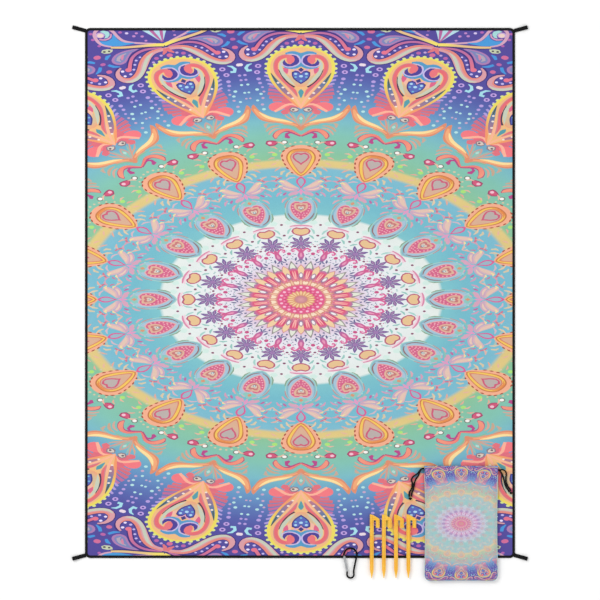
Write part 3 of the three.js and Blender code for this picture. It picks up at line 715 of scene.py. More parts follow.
def side_cuts(half, headings=((1, 0), (0, 1), (-1, 0), (0, -1))):
    """Cuts that leave a rectangle of that half size, in metres."""
    return [((half[0] * x, half[1] * y), (x, y), False) for x, y in headings]


def corner_cuts(half, radius, leans, corners):
    """Cuts that round the rectangle's corners (sign of x, sign of y), one at each lean in radians."""
    cuts = []
    for sx, sy in corners:
        middle = (sx * (half[0] - radius), sy * (half[1] - radius))
        for lean in leans:
            out = (sx * math.cos(lean), sy * math.sin(lean))
            cuts.append(((middle[0] + out[0] * radius, middle[1] + out[1] * radius), out, False))
    return cuts


def lift(made, height):
    """Sets every point's height from its place."""
    mesh = made.data
    places = np.zeros(len(mesh.vertices) * 3, np.float32)
    mesh.vertices.foreach_get("co", places)
    places = places.reshape(-1, 3)
    places[:, 2] = height(places[:, 0], places[:, 1])
    mesh.vertices.foreach_set("co", places.ravel())
    mesh.update()


def drawn(step, least=0):
    drawing = Drawing(step, least)
    for part in PRINT_PARTS:
        part(drawing)
    return drawing

# ---- materials ----


class Nodes:
    """Adds nodes to a tree and links them. A keyword such as i0 is the socket of that number."""

    def __init__(self, tree):
        self.tree = tree

    def add(self, kind, settings=None, **inputs):
        node = self.tree.nodes.new(kind)
        for name, value in (settings or {}).items():
            setattr(node, name, value)
        for name, value in inputs.items():
            self.feed(node, name, value)
        return node

    def feed(self, node, name, value):
        key = int(name[1:]) if name[0] == "i" and name[1:].isdigit() else name.replace("_", " ")
        if isinstance(value, bpy.types.NodeSocket):
            self.tree.links.new(value, node.inputs[key])
        else:
            node.inputs[key].default_value = value

    def math(self, operation, a, b=0.0, c=0.5):
        return self.add("ShaderNodeMath", {"operation": operation}, i0=a, i1=b, i2=c).outputs[0]

    def mix(self, share, a, b, blend="MIX"):
        settings = {"data_type": "RGBA", "blend_type": blend}
        return self.add("ShaderNodeMix", settings, i0=share, i6=a, i7=b).outputs[2]

    def use(self, group, **inputs):
        return self.add("ShaderNodeGroup", {"node_tree": group}, **inputs).outputs

    def vector(self, operation, a, b=(0, 0, 0), scale=1.0):
        node = self.add("ShaderNodeVectorMath", {"operation": operation}, i0=a, i1=b)
        node.inputs[3].default_value = scale
        return node.outputs["Value" if operation in ("LENGTH", "DOT_PRODUCT") else "Vector"]

    def ramp(self, factor, stops, interpolation="LINEAR"):
        node = self.add("ShaderNodeValToRGB", None, Fac=factor)
        node.color_ramp.interpolation = interpolation
        elements = node.color_ramp.elements
        while len(elements) < len(stops):
            elements.new(1)
        for element, (place, colour) in zip(elements, stops):
            element.position = place
            element.color = (*colour, 1)
        return node.outputs[0]


def shader_group(name, inputs, outputs):
    """A new node group: its tree, a helper for it, its input sockets and its output node."""
    tree = bpy.data.node_groups.new(name, "ShaderNodeTree")
    for label, kind, default in inputs:
        socket = tree.interface.new_socket(label, in_out="INPUT", socket_type="NodeSocket" + kind)
        if default is not None:
            socket.default_value = default
    for label, kind in outputs:
        tree.interface.new_socket(label, in_out="OUTPUT", socket_type="NodeSocket" + kind)
    start = tree.nodes.new("NodeGroupInput").outputs
    return tree, Nodes(tree), start, tree.nodes.new("NodeGroupOutput")


def make_mottle():
    """Soft uneven shade round 1, for colour and for roughness."""
    tree, nodes, given, end = shader_group(
        "soft_mottle",
        [("Vector", "Vector", None), ("Scale", "Float", 20.0), ("Amount", "Float", 0.1)],
        [("Shade", "Float"), ("Height", "Float")],
    )
    cloud = nodes.add("ShaderNodeTexNoise", None, Vector=given["Vector"], Scale=given["Scale"], Detail=4.0)
    centred = nodes.math("SUBTRACT", cloud.outputs[0], 0.5)
    spread = nodes.math("MULTIPLY", centred, given["Amount"])
    nodes.feed(end, "Shade", nodes.math("ADD", spread, 1.0))
    nodes.feed(end, "Height", cloud.outputs[0])
    return tree


def make_plain_weave():
    """Over and under threads of a plain cloth: Threads is a mask and Normal their relief."""
    tree, nodes, given, end = shader_group(
        "plain_weave",
        [("Vector", "Vector", None), ("Pitch", "Float", 0.001), ("Depth", "Float", 0.0002)],
        [("Threads", "Float"), ("Normal", "Vector")],
    )
    axes = nodes.add("ShaderNodeSeparateXYZ", None, Vector=given["Vector"]).outputs
    turn = nodes.math("DIVIDE", TAU / 2, given["Pitch"])
    warp = nodes.math("SINE", nodes.math("MULTIPLY", axes[0], turn))
    weft = nodes.math("SINE", nodes.math("MULTIPLY", axes[1], turn))
    crossing = nodes.math("MULTIPLY", warp, weft)
    threads = nodes.math("MULTIPLY_ADD", crossing, 0.5, 0.5)
    bump = nodes.add("ShaderNodeBump", None, Height=threads, Distance=given["Depth"])
    nodes.feed(end, "Threads", threads)
    nodes.feed(end, "Normal", bump.outputs[0])
    return tree


RIB_TURN = 2.2 * MM


def make_twill():
    """Slanting ribs of tape and webbing, which turn back every RIB_TURN."""
    tree, nodes, given, end = shader_group(
        "twill_ribs",
        [("Vector", "Vector", None), ("Pitch", "Float", 0.0015), ("Depth", "Float", 0.0003)],
        [("Ribs", "Float"), ("Normal", "Vector")],
    )
    axes = nodes.add("ShaderNodeSeparateXYZ", None, Vector=given["Vector"]).outputs
    slant = nodes.math("ADD", axes[0], nodes.math("PINGPONG", axes[1], RIB_TURN))
    turn = nodes.math("DIVIDE", slant, given["Pitch"])
    ribs = nodes.math("MULTIPLY_ADD", nodes.math("SINE", nodes.math("MULTIPLY", turn, TAU)), 0.5, 0.5)
    bump = nodes.add("ShaderNodeBump", None, Height=ribs, Distance=given["Depth"])
    nodes.feed(end, "Ribs", ribs)
    nodes.feed(end, "Normal", bump.outputs[0])
    return tree


# The print's ground, from its centre outwards: distance in mm and colour.
GROUND = (
    (0, "E0A0A4"), (12, "C88890"), (14, "E8B890"), (27, "E4A080"), (31, "E0608C"), (47, "DC7090"),
    (68, "E090A8"), (116, "E0C8DC"), (140, "E8E2EE"), (180, "E9EEF0"), (286, "E4ECE8"), (292, "80C4CC"),
    (340, "76BCCC"), (414, "78BCD0"), (446, "80BCD0"), (454, "E0C884"), (472, "E2CA86"), (479, "8CC49C"),
    (510, "88C4A8"), (560, "84C4B4"), (611, "7CBCC8"), (645, "70A8C8"), (680, "6894C4"), (713, "607CB8"),
    (754, "5864AC"), (798, "56509F"), (1020, "56499A"),
)
INK_BRIGHTNESS = 0.91
# The bag's paler tints, and the share of each in its colour, at distances in mm.
BAG_TINTS = (
    (0, "D890B0"), (110, "C89CC4"), (180, "C4A4D0"), (250, "B8BCD0"), (300, "A8CCC8"), (400, "B4D0C8"),
    (480, "D0C8B8"), (560, "C4BCB8"), (620, "A4B8CC"), (690, "7890CC"), (750, "6C60AC"), (1020, "64509C"),
)
BAG_TINT_SHARE = (
    (0, 0.45), (150, 0.5), (215, 0.72), (320, 0.68), (420, 0.55), (620, 0.55), (720, 0.3), (800, 0.15),
)


def make_print_colours():
    """The motifs' colours over the ground's, which change with the distance from the design's centre."""
    tree, nodes, given, end = shader_group(
        "print_colours",
        [("Design", "Vector", None), ("Motif", "Color", None), ("Mask", "Float", 0.0)],
        [("Color", "Color")],
    )
    reach = nodes.vector("LENGTH", given["Design"])
    ground = nodes.ramp(reach, [(place / PRINT_LIMIT, linear(colour)) for place, colour in GROUND])
    nodes.feed(end, "Color", nodes.mix(given["Mask"], ground, given["Motif"]))
    return tree


MOTTLE = make_mottle()
PLAIN_WEAVE = make_plain_weave()
TWILL = make_twill()
PRINT_COLOURS = make_print_colours()


def new_material(name):
    material = bpy.data.materials.new(name)
    material.use_nodes = True
    nodes = Nodes(material.node_tree)
    return material, nodes, material.node_tree.nodes["Principled BSDF"]


def object_place(nodes):
    return nodes.add("ShaderNodeTexCoord").outputs["Object"]


def cloth_place(nodes, layer="Cloth"):
    return nodes.add("ShaderNodeUVMap", {"uv_map": layer}).outputs[0]


def make_faded_ink():
    """A thinner print: the bag's tints laid over the colours, most at its middle."""
    tree, nodes, given, end = shader_group(
        "faded_ink", [("Design", "Vector", None), ("Ink", "Color", None)], [("Color", "Color")]
    )
    reach = nodes.vector("LENGTH", given["Design"])
    tint = nodes.ramp(reach, [(place / PRINT_LIMIT, linear(colour)) for place, colour in BAG_TINTS])
    share = nodes.ramp(reach, [(place / PRINT_LIMIT, (much, much, much)) for place, much in BAG_TINT_SHARE])
    nodes.feed(end, "Color", nodes.mix(share, given["Ink"], tint))
    return tree


def print_material(name, fade=None, pitch=0.9, scale=1.0):
    """Printed polyester: the design, a fine weave and a soft uneven nap. fade is a group over the ink."""
    material, nodes, shader = new_material(name)
    design = cloth_place(nodes, "Design")
    ink = nodes.add("ShaderNodeAttribute", {"attribute_name": "Print"}).outputs
    colour = nodes.use(PRINT_COLOURS, Design=design, Motif=ink["Color"], Mask=ink["Alpha"])[0]
    if fade:
        colour = nodes.use(fade, Design=design, Ink=colour)[0]
    cloth = nodes.vector("SCALE", design, scale=PRINT_LIMIT * MM * scale)
    weave = nodes.use(PLAIN_WEAVE, Vector=cloth, Pitch=pitch * MM, Depth=0.12 * MM)
    mottle = nodes.use(MOTTLE, Vector=cloth, Scale=34.0, Amount=0.1)
    fine = nodes.use(MOTTLE, Vector=cloth, Scale=520.0, Amount=0.16)
    shade = nodes.math("MULTIPLY", nodes.math("MULTIPLY", mottle[0], fine[0]), INK_BRIGHTNESS)
    grey = nodes.add("ShaderNodeCombineColor", None, i0=shade, i1=shade, i2=shade).outputs[0]
    nodes.feed(shader, "Base Color", nodes.mix(1.0, colour, grey, "MULTIPLY"))
    nodes.feed(shader, "Roughness", nodes.math("MULTIPLY", mottle[0], 0.82))
    nodes.feed(shader, "Normal", weave["Normal"])
    nodes.feed(shader, "Sheen Weight", 0.12)
    nodes.feed(shader, "Specular IOR Level", 0.2)
    return material


def woven_material(name, colour, other, group, pitch, depth, roughness, layer=None):
    """Cloth or tape of one yarn, darker between its threads: painted shade, with other as its colour."""
    material, nodes, shader = new_material(name)
    place = cloth_place(nodes, layer) if layer else object_place(nodes)
    relief = nodes.use(group, Vector=place, Pitch=pitch * MM, Depth=depth * MM)
    mottle = nodes.use(MOTTLE, Vector=object_place(nodes), Scale=60.0, Amount=0.3)
    # painted shade: the colour darkens towards other where the threads dip
    gap_shaded = nodes.mix(relief[0], (*linear(other), 1), (*linear(colour), 1))
    nodes.feed(shader, "Base Color", nodes.mix(mottle[1], gap_shaded, (*linear(colour), 1)))
    nodes.feed(shader, "Roughness", nodes.math("MULTIPLY", mottle[0], roughness))
    nodes.feed(shader, "Normal", relief["Normal"])
    nodes.feed(shader, "Specular IOR Level", 0.25)
    return material


def grained_material(name, low, high, scale, roughness, depth, **inputs):
    """Moulded plastic, enamel, metal or felt: two near shades in a fine grain."""
    material, nodes, shader = new_material(name)
    place = object_place(nodes)
    cloud = nodes.use(MOTTLE, Vector=place, Scale=scale, Amount=0.3)
    grain = nodes.use(MOTTLE, Vector=place, Scale=scale * 14, Amount=0.2)
    share = nodes.ramp(cloud[1], [(0.3, (0, 0, 0)), (0.7, (1, 1, 1))])
    nodes.feed(shader, "Base Color", nodes.mix(share, (*linear(low), 1), (*linear(high), 1)))
    nodes.feed(shader, "Roughness", nodes.math("MULTIPLY", cloud[0], roughness))
    bump = nodes.add("ShaderNodeBump", None, Height=grain[1], Distance=depth * MM)
    nodes.feed(shader, "Normal", bump.outputs[0])
    for label, value in inputs.items():
        nodes.feed(shader, label, value)
    return material


PRINT = print_material("printed_polyester")
BAG_PRINT = print_material("printed_bag_cloth", make_faded_ink(), 0.8, 0.22)
# The second colour of each woven material below is the painted shade between its threads.
BAG_LINING = woven_material("bag_lining", "BFDAD6", "9CC0BC", PLAIN_WEAVE, 0.8, 0.1, 0.85)
BACKING = woven_material("coated_backing", "303338", "1B1D20", PLAIN_WEAVE, 5.0, 0.25, 0.55, "Cloth")
FELT = grained_material("felt_wadding", "D8D5CC", "ECEAE2", 90.0, 0.95, 0.4)
TAPE = woven_material("black_tape", "0E0E10", "050506", TWILL, 1.6, 0.25, 0.85, "Cloth")
WEBBING = woven_material("black_webbing", "0F0F11", "050506", TWILL, 2.4, 0.5, 0.85, "Cloth")
CORD = woven_material("black_cord", "0E0E10", "040405", TWILL, 1.5, 0.4, 0.85)
THREAD = grained_material("black_thread", "202024", "2C2C31", 400.0, 0.7, 0.05)
PALE_THREAD = grained_material("pale_thread", "C8E4DE", "E0F0EC", 400.0, 0.7, 0.05)
AMBER = grained_material("amber_plastic", "F4B428", "FAC444", 30.0, 0.36, 0.04, Subsurface_Weight=0.15)
ENAMEL = grained_material("black_enamel", "030304", "08080A", 60.0, 0.45, 0.03, Specular_IOR_Level=0.12)
FLOOR = grained_material("pale_floor", "F9F9F9", "FBFBFB", 30.0, 1.0, 0.01, Specular_IOR_Level=0.0)
STEEL = grained_material("bright_steel", "A8AAAD", "C4C6C8", 120.0, 0.28, 0.02, Metallic=1.0)

# ---- blanket ----

BLANKET = (0.73, 0.9)
CORNER = 0.018
CREASE = 0.3
BEND = 0.02
FACE_HEIGHT = 3.6 * MM
EDGE_INSET = 1.3 * MM
CREASE_STEP = 4 * MM
LAYER_HALF = (BLANKET[0] - EDGE_INSET, BLANKET[1] - EDGE_INSET)
CORNER_LEANS = [i * TAU / 16 for i in (1, 2, 3)]
ALL_CORNERS = ((1, 1), (1, -1), (-1, 1), (-1, -1))


def layer_cuts():
    """A cloth layer's outline, and straight cuts across it in a band at the crease line."""
    count = round(BEND / CREASE_STEP)
    cuts = side_cuts(LAYER_HALF) + corner_cuts(LAYER_HALF, CORNER - EDGE_INSET, CORNER_LEANS, ALL_CORNERS)
    return cuts + [((0, CREASE + i * CREASE_STEP), (0, 1), True) for i in range(-count, count + 1)]


def fold(made):
    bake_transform(made)


def rolling(x, y):
    """How the cloth rises and falls a little where it lies, and not at its edges."""
    inside = np.minimum(BLANKET[0] - np.abs(x), BLANKET[1] - np.abs(y))
    fade = np.clip(inside / 0.05, 0, 1) ** 2
    waves = np.sin(9 * x + 4.2 * y) + np.sin(6.1 * y - 13 * x + 1.7) + np.sin(17 * y + 5.3 * x + 0.6)
    return fade * waves * 0.14 * MM


def make_face(wedge):
    half = [side / MM for side in LAYER_HALF]
    made = printed_sheet("printed_face", wedge, PRINT_CENTRE, (1, 1), half, layer_cuts())
    lift(made, lambda x, y: FACE_HEIGHT + rolling(x, y))
    return made


def cloth_uv(made):
    """The rest shape's own X and Y as cloth coordinates in metres."""
    mesh = made.data
    layer = mesh.uv_layers.new(name="Cloth")
    for loop, spot in zip(mesh.loops, layer.uv):
        spot.vector = mesh.vertices[loop.vertex_index].co.xy


def make_layer(name, low, high, material):
    """A plain layer of the blanket, as thick as low to high."""
    sheet = bmesh.new()
    bmesh.ops.create_grid(sheet, x_segments=30, y_segments=36, size=1)
    bmesh.ops.scale(sheet, verts=sheet.verts, vec=(*LAYER_HALF, 1))
    cut_across(sheet, layer_cuts())
    bmesh.ops.translate(sheet, verts=sheet.verts, vec=(0, 0, low))
    raised = bmesh.ops.extrude_face_region(sheet, geom=sheet.faces[:])["geom"]
    top = [v for v in raised if isinstance(v, bmesh.types.BMVert)]
    bmesh.ops.translate(sheet, verts=top, vec=(0, 0, high - low))
    bmesh.ops.recalc_face_normals(sheet, faces=sheet.faces)
    mesh = bpy.data.meshes.new(name)
    sheet.to_mesh(mesh)
    sheet.free()
    made = add_object(name, mesh)
    cloth_uv(made)
    mesh.materials.append(material)
    return made


EDGE_STEP = 30 * MM
CREASE_ROOM = 27 * MM
CORNER_STEPS = 6


def edge_path(inset=0.0):
    """The blanket's edge moved in by inset: places and outward directions, closer together at the crease."""
    half = np.array(BLANKET) - inset
    radius = max(CORNER - inset, 1 * MM)
    ups = [CREASE + i * CREASE_STEP for i in range(-6, 7)]
    places, outs = [], []
    for quarter, (sx, sy) in enumerate(((1, 1), (-1, 1), (-1, -1), (1, -1))):
        middle = (sx * (half[0] - radius), sy * (half[1] - radius))
        for i in range(CORNER_STEPS + 1):
            turn = (quarter + i / CORNER_STEPS) * TAU / 4
            out = (math.cos(turn), math.sin(turn))
            places.append((middle[0] + out[0] * radius, middle[1] + out[1] * radius))
            outs.append(out)
        last = places[-1]
        out = (round(outs[-1][0]), round(outs[-1][1]))
        length = 2 * (half[1] if out[0] else half[0]) - 2 * radius
        parts = round(length / EDGE_STEP)
        marks = [i / parts * length for i in range(1, parts)]
        if out[0]:
            heading = -1 if out[0] < 0 else 1
            stops = [last[1] + heading * mark for mark in marks]
            stops = sorted([s for s in stops if abs(s - CREASE) > CREASE_ROOM] + ups, reverse=heading < 0)
            run = [(last[0], s) for s in stops]
        else:
            heading = -1 if out[1] > 0 else 1
            run = [(last[0] + heading * mark, last[1]) for mark in marks]
        places += run
        outs += [out] * len(run)
    return np.array(places), np.array(outs)


# The folded tape's section: distance in from the edge and height, in mm.
TAPE_SECTION = (
    (9, 4.15), (8.6, 4.42), (5.5, 4.5), (2.2, 4.42), (0.7, 3.9), (0.1, 3), (0, 2.25), (0.1, 1.5), (0.7, 0.6),
    (2.2, 0.1), (5.5, 0.02), (8.6, 0.06), (9, 0.3), (8.6, 0.62), (1.3, 0.6), (1, 2.25), (1.3, 3.9),
    (8.6, 3.95),
)


def running_length(line, closed=False):
    """The distance along a line of points to each of them."""
    steps = np.diff(line, axis=0, append=line[:1]) if closed else np.diff(line, axis=0)
    return np.concatenate([[0], np.cumsum(np.linalg.norm(steps, axis=1))])


def make_binding():
    """Tape folded over the blanket's edge, top and bottom."""
    places, outs = edge_path()
    sides = len(TAPE_SECTION)
    points = []
    for place, out in zip(places, outs):
        points += [(*(place - out * inset * MM), height * MM) for inset, height in TAPE_SECTION]
    made = mesh_object("edge_tape", points, ring_faces(len(places), sides, True))
    along = running_length(places, closed=True)
    across = running_length(TAPE_SECTION) * MM
    layer = made.data.uv_layers.new(name="Cloth")
    for face in made.data.polygons:
        first, last = min(face.vertices), max(face.vertices)
        ring = first // sides if last - first < 2 * sides else len(places) - 1
        for loop in face.loop_indices:
            vertex = made.data.loops[loop].vertex_index
            far = vertex // sides != ring
            layer.uv[loop].vector = (along[ring + far], across[vertex % sides])
    made.data.materials.append(TAPE)
    return made


# ---- stitches, laid by geometry nodes along a line ----


def stitch_nodes():
    """A tree that lays small stretched balls of thread along a line."""
    tree = bpy.data.node_groups.new("stitch_row", "GeometryNodeTree")
    sizes = [(label, "Float") for label in ("Pitch", "Length", "Width")]
    for label, kind in (("Line", "Geometry"), *sizes, ("Thread", "Material")):
        tree.interface.new_socket(label, in_out="INPUT", socket_type="NodeSocket" + kind)
    tree.interface.new_socket("Stitches", in_out="OUTPUT", socket_type="NodeSocketGeometry")
    tree.is_modifier = True
    given = tree.nodes.new("NodeGroupInput").outputs
    end = tree.nodes.new("NodeGroupOutput")
    nodes = Nodes(tree)
    line = nodes.add("GeometryNodeMeshToCurve", None, Mesh=given["Line"]).outputs[0]
    by_length = {"mode": "LENGTH"}
    even = nodes.add("GeometryNodeResampleCurve", by_length, Curve=line, Length=given["Pitch"]).outputs[0]
    ball = nodes.add("GeometryNodeMeshUVSphere", None, Segments=6, Rings=3, Radius=0.5).outputs[0]
    width = given["Width"]
    size = nodes.add("ShaderNodeCombineXYZ", None, X=given["Length"], Y=width, Z=width).outputs[0]
    tangent = nodes.add("GeometryNodeInputTangent").outputs[0]
    turned = nodes.add("FunctionNodeAlignRotationToVector", {"axis": "X"}, Vector=tangent).outputs[0]
    placed = nodes.add(
        "GeometryNodeInstanceOnPoints", None, Points=even, Instance=ball, Rotation=turned, Scale=size,
    ).outputs[0]
    real = nodes.add("GeometryNodeRealizeInstances", None, Geometry=placed).outputs[0]
    sewn = nodes.add("GeometryNodeSetMaterial", None, Geometry=real, Material=given["Thread"])
    nodes.feed(end, "Stitches", sewn.outputs[0])
    return tree


STITCH_NODES = stitch_nodes()


def stitch_rows(name, lines, thread, pitch=5.0, length=3.4, width=0.7):
    """Rows of stitches along lines of (points, closed)."""
    points, edges = [], []
    for line, closed in lines:
        first = len(points)
        points += [tuple(p) for p in line]
        edges += [(i, i + 1) for i in range(first, len(points) - 1)]
        if closed:
            edges.append((len(points) - 1, first))
    mesh = bpy.data.meshes.new(name + "_line")
    mesh.from_pydata(points, edges, [])
    carrier = add_object(name + "_line", mesh)
    modifier = carrier.modifiers.new("stitches", "NODES")
    modifier.node_group = STITCH_NODES
    values = {"Pitch": pitch * MM, "Length": length * MM, "Width": width * MM, "Thread": thread}
    for item in STITCH_NODES.interface.items_tree:
        if item.in_out == "INPUT" and item.name in values:
            modifier[item.identifier] = values[item.name]
    evaluated = carrier.evaluated_get(bpy.context.evaluated_depsgraph_get())
    baked = bpy.data.meshes.new_from_object(evaluated)
    baked.name = name
    bpy.data.objects.remove(carrier)
    return add_object(name, baked)


# Lengths of the drawing's pieces and of its filler triangles, and the heights of the layers' faces.
FACE_STEP, FACE_SPACING = 8, 24
WADDING_LOW, WADDING_HIGH = 1.6 * MM, 2.8 * MM
BACKING_LOW, BACKING_HIGH = 0.3 * MM, 1.3 * MM
TAPE_STITCH_INSET = 7.2 * MM
TAPE_STITCH_HEIGHTS = (4.5 * MM, 0.05 * MM)

face_cloth = make_face(HalfWedge(drawn(FACE_STEP), FACE_SPACING))
face_cloth.data.materials.append(PRINT)
wadding = make_layer("wadding", WADDING_LOW, WADDING_HIGH, FELT)
backing = make_layer("coated_back", BACKING_LOW, BACKING_HIGH, BACKING)
edge_tape = make_binding()
tape_line = edge_path(TAPE_STITCH_INSET)[0]
rows = [([(x, y, height) for x, y in tape_line], True) for height in TAPE_STITCH_HEIGHTS]
edge_stitches = stitch_rows("edge_stitches", rows, THREAD)
BLANKET_PARTS = {"face_cloth": face_cloth, "wadding": wadding, "backing": backing, "edge_binding": edge_tape}
for part, made in BLANKET_PARTS.items():
    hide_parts(part + "_main", part + "_flap")
    fold(made)
fold(edge_stitches)

# ---- corner loops ----

STITCH_LIFT = 0.2 * MM
LOOP_TILT = math.radians(15)
LOOP_PLACE = (0.73, 0.891)
LOOP_WIDTH = 13 * MM
LOOP_THICK = 1.3 * MM
LOOP_SOFT = 0.5 * MM
LOOP_ROOT_TOP = 3.8 * MM
# The webbing's middle seen from its side: distance out from its root and height, in mm.
LOOP_SIDE = (
    (-3, 1.65), (8, 1.65), (20, 1.65), (32, 1.65), (38, 1.8), (42, 3), (43.8, 5.4), (42.4, 8.1), (38, 9.1),
    (32.5, 8.4), (25, 5.9), (18.5, 3.7), (12, 3.2), (5, 3.15), (-3, 3.15),
)
# The seam at the root, a box with a cross: distance out and across, in mm.
SEAM_BOX = ((2, -4.6), (11.5, -4.6), (11.5, 4.6), (2, 4.6))


def make_loop(name, xs, ys):
    """Webbing doubled back on itself into an eye, and sewn down at its root."""
    line = through([(u * MM, 0, z * MM) for u, z in LOOP_SIDE], 1.6 * MM)
    thick, wide, soft = LOOP_THICK / 2, LOOP_WIDTH / 2, LOOP_SOFT
    section = [
        (wide, -thick + soft), (wide, thick - soft), (wide - soft, thick), (0, thick), (-wide + soft, thick),
        (-wide, thick - soft), (-wide, -thick + soft), (-wide + soft, -thick), (0, -thick),
        (wide - soft, -thick),
    ]
    heading = np.gradient(line, axis=0)
    heading /= np.linalg.norm(heading, axis=1, keepdims=True)
    lean = LOOP_TILT * ys
    out = Vector((math.cos(lean) * xs, math.sin(lean), 0))
    side = Vector((-out.y, out.x, 0))
    root = Vector((LOOP_PLACE[0] * xs, LOOP_PLACE[1] * ys, 0))

    def place(u, v, w):
        return root + out * u + side * v + Vector((0, 0, w))

    points = []
    for (u, _, w), (du, _, dw) in zip(line, heading):
        points += [place(u - dw * up, across, w + du * up) for across, up in section]
    made = mesh_object(name, points, ring_faces(len(line), len(section), False))
    along = running_length(line)
    layer = made.data.uv_layers.new(name="Cloth")
    for loop, spot in zip(made.data.loops, layer.uv):
        ring, corner = divmod(loop.vertex_index, len(section))
        spot.vector = (along[ring], section[corner][0])
    made.data.materials.append(WEBBING)
    box = [place(u * MM, v * MM, LOOP_ROOT_TOP + STITCH_LIFT) for u, v in SEAM_BOX]
    lines = [(box, True), (box[0::2], False), (box[3:0:-2], False)]
    sewn = stitch_rows(name + "_stitches", lines, THREAD, pitch=2.6, length=2, width=0.55)
    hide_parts(name.replace("loop_", "corner_loop_"))
    for piece in (made, sewn):
        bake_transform(piece)
    return made


for row, ys, parent in (("top", 1, "fold_flap"), ("bottom", -1, "blanket")):
    for column, xs in (("left", -1), ("right", 1)):
        name = f"loop_{row}_{column}"
        make_loop(name, xs, ys)

# ---- stakes and carabiner keep their solids ----


EDGE_ANGLE = math.radians(40)


def finish_node(name, material, edge=0):
    """A solid's own material, and softly rounded edges of that width in mm."""
    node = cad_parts[name]
    if node.material_slots:
        node.material_slots[0].material = material
    else:
        node.data.materials.append(material)
    if edge:
        rounding = node.modifiers.new("rounded_edges", "BEVEL")
        rounding.width = edge * MM
        rounding.segments = 2
        rounding.limit_method = "ANGLE"
        rounding.angle_limit = EDGE_ANGLE
        rounding.harden_normals = False


for number in (1, 2, 3, 4):
    finish_node(f"stake_{number}", AMBER, 0.5)
finish_node("carabiner_body", ENAMEL)
for name in ("carabiner_gate", "gate_pivot_pin", "gate_plunger", "gate_spring"):
    finish_node(name, STEEL)

for made in (*strands.values(), *knots.values()):
    made.data.materials.append(CORD)
for side in ("left", "right"):
    for face in ("front", "back"):
        finish_node(f"{side}_run_{face}", CORD)

# ---- drawstring bag ----

BAG_CENTRE = (0.5468, -0.7821)
BAG_HALF = (0.12465, 0.1956)
BAG_CORNER = 0.02
BAG_LOW, BAG_HIGH = 0.0052, 0.0224
BAG_MIDDLE = (BAG_LOW + BAG_HIGH) / 2
CASING_DEPTH, CASING_HEIGHT = 0.021, 0.0064
CASING_FULLNESS = 2.86
CASING_MIDDLE = BAG_HIGH - BAG_MIDDLE - CASING_HEIGHT / 2
HEM = BAG_HALF[1] - CASING_DEPTH
HEM_FOLDS = (0, 0.06, 0.14, 0.3, 0.5, 0.7, 0.86, 0.94)
BELOW_HEM = (4 * MM, 8 * MM, 13 * MM)
BAG_PRINT_SCALE = (0.192, 0.222)
BAG_CLOTH_SPACING = 0.006
PULL_IN = 0.35
BAG_LEANS = (0.39, 0.79, 1.18)
BAG_CORNER_STEPS = 6
# Pressing of the cloth at the seams' side of the casings, and the small gathers below them.
PRESS_REACH = 16 * MM
GATHER_DEPTH = 0.35 * MM
GATHER_REACH = 30 * MM
GATHER_EDGE = 20 * MM
STRAIGHTEN_REACH = 10 * MM


def full_profile(share, fullness=CASING_FULLNESS):
    """The height of a softly squared round at a share of its half width."""
    return max(1 - abs(share) ** fullness, 0) ** (1 / fullness)


def bag_outline(inset=0.0, step=BAG_CLOTH_SPACING):
    """The flat bag's edge round its own centre, from the mouth's right end round the bottom to its left."""
    across, up = BAG_HALF[0] - inset, BAG_HALF[1] - inset
    radius = BAG_CORNER - inset
    drop = up + BAG_HALF[1] - radius
    down = round(drop / step)
    side = [(across, BAG_HALF[1] - i * drop / down) for i in range(down)]
    turns = [TAU / 4 * i / BAG_CORNER_STEPS for i in range(BAG_CORNER_STEPS + 1)]
    bend = [(across - radius + radius * math.cos(t), -up + radius - radius * math.sin(t)) for t in turns]
    width = 2 * (across - radius)
    parts = round(width / step)
    bottom = [(across - radius - i * width / parts, -up) for i in range(1, parts)]
    right = side + bend
    return right + bottom + [(-x, y) for x, y in right[::-1]]


ROW_SHARE, EDGE_SHARE = 0.87, 0.6


def bag_blank():
    """A flat net of triangles for the front and back sheets: places, triangles, number of edge points."""
    ring = bag_outline()
    parts = round(2 * BAG_HALF[0] / BAG_CLOTH_SPACING)
    ring += [(-BAG_HALF[0] + 2 * BAG_HALF[0] * i / parts, BAG_HALF[1]) for i in range(1, parts)]
    inner = []
    for row, y in enumerate(np.arange(-BAG_HALF[1], BAG_HALF[1], BAG_CLOTH_SPACING * ROW_SHARE)):
        for x in np.arange(-BAG_HALF[0] + row % 2 * BAG_CLOTH_SPACING / 2, BAG_HALF[0], BAG_CLOTH_SPACING):
            corner = np.maximum([abs(x) - BAG_HALF[0] + BAG_CORNER, -y - BAG_HALF[1] + BAG_CORNER], 0)
            edge = min(BAG_HALF[0] - abs(x), BAG_HALF[1] - abs(y), BAG_CORNER - float(np.linalg.norm(corner)))
            if edge > BAG_CLOTH_SPACING * EDGE_SHARE:
                inner.append((x, y))
    points = [Vector(p) for p in ring + inner]
    edges = [(i, (i + 1) % len(ring)) for i in range(len(ring))]
    flat, _, faces, *_ = delaunay_2d_cdt(points, edges, [], 0, 1e-5, False)
    flat = np.array([tuple(p) for p in flat])
    faces = np.array(faces)
    return flat, faces, len(ring)


def rounded(height):
    """Presses a height into the room on one side of the bag's middle."""
    room = (BAG_HIGH - BAG_LOW) / 2
    return room * np.tanh(height / room)


BLOWING_FRAMES = 16
CLOTH_SETTINGS = {
    "quality": 6, "mass": 0.12, "tension_stiffness": 18, "compression_stiffness": 12,
    "bending_stiffness": 0.08, "use_pressure": True, "uniform_pressure_force": 1.6,
}


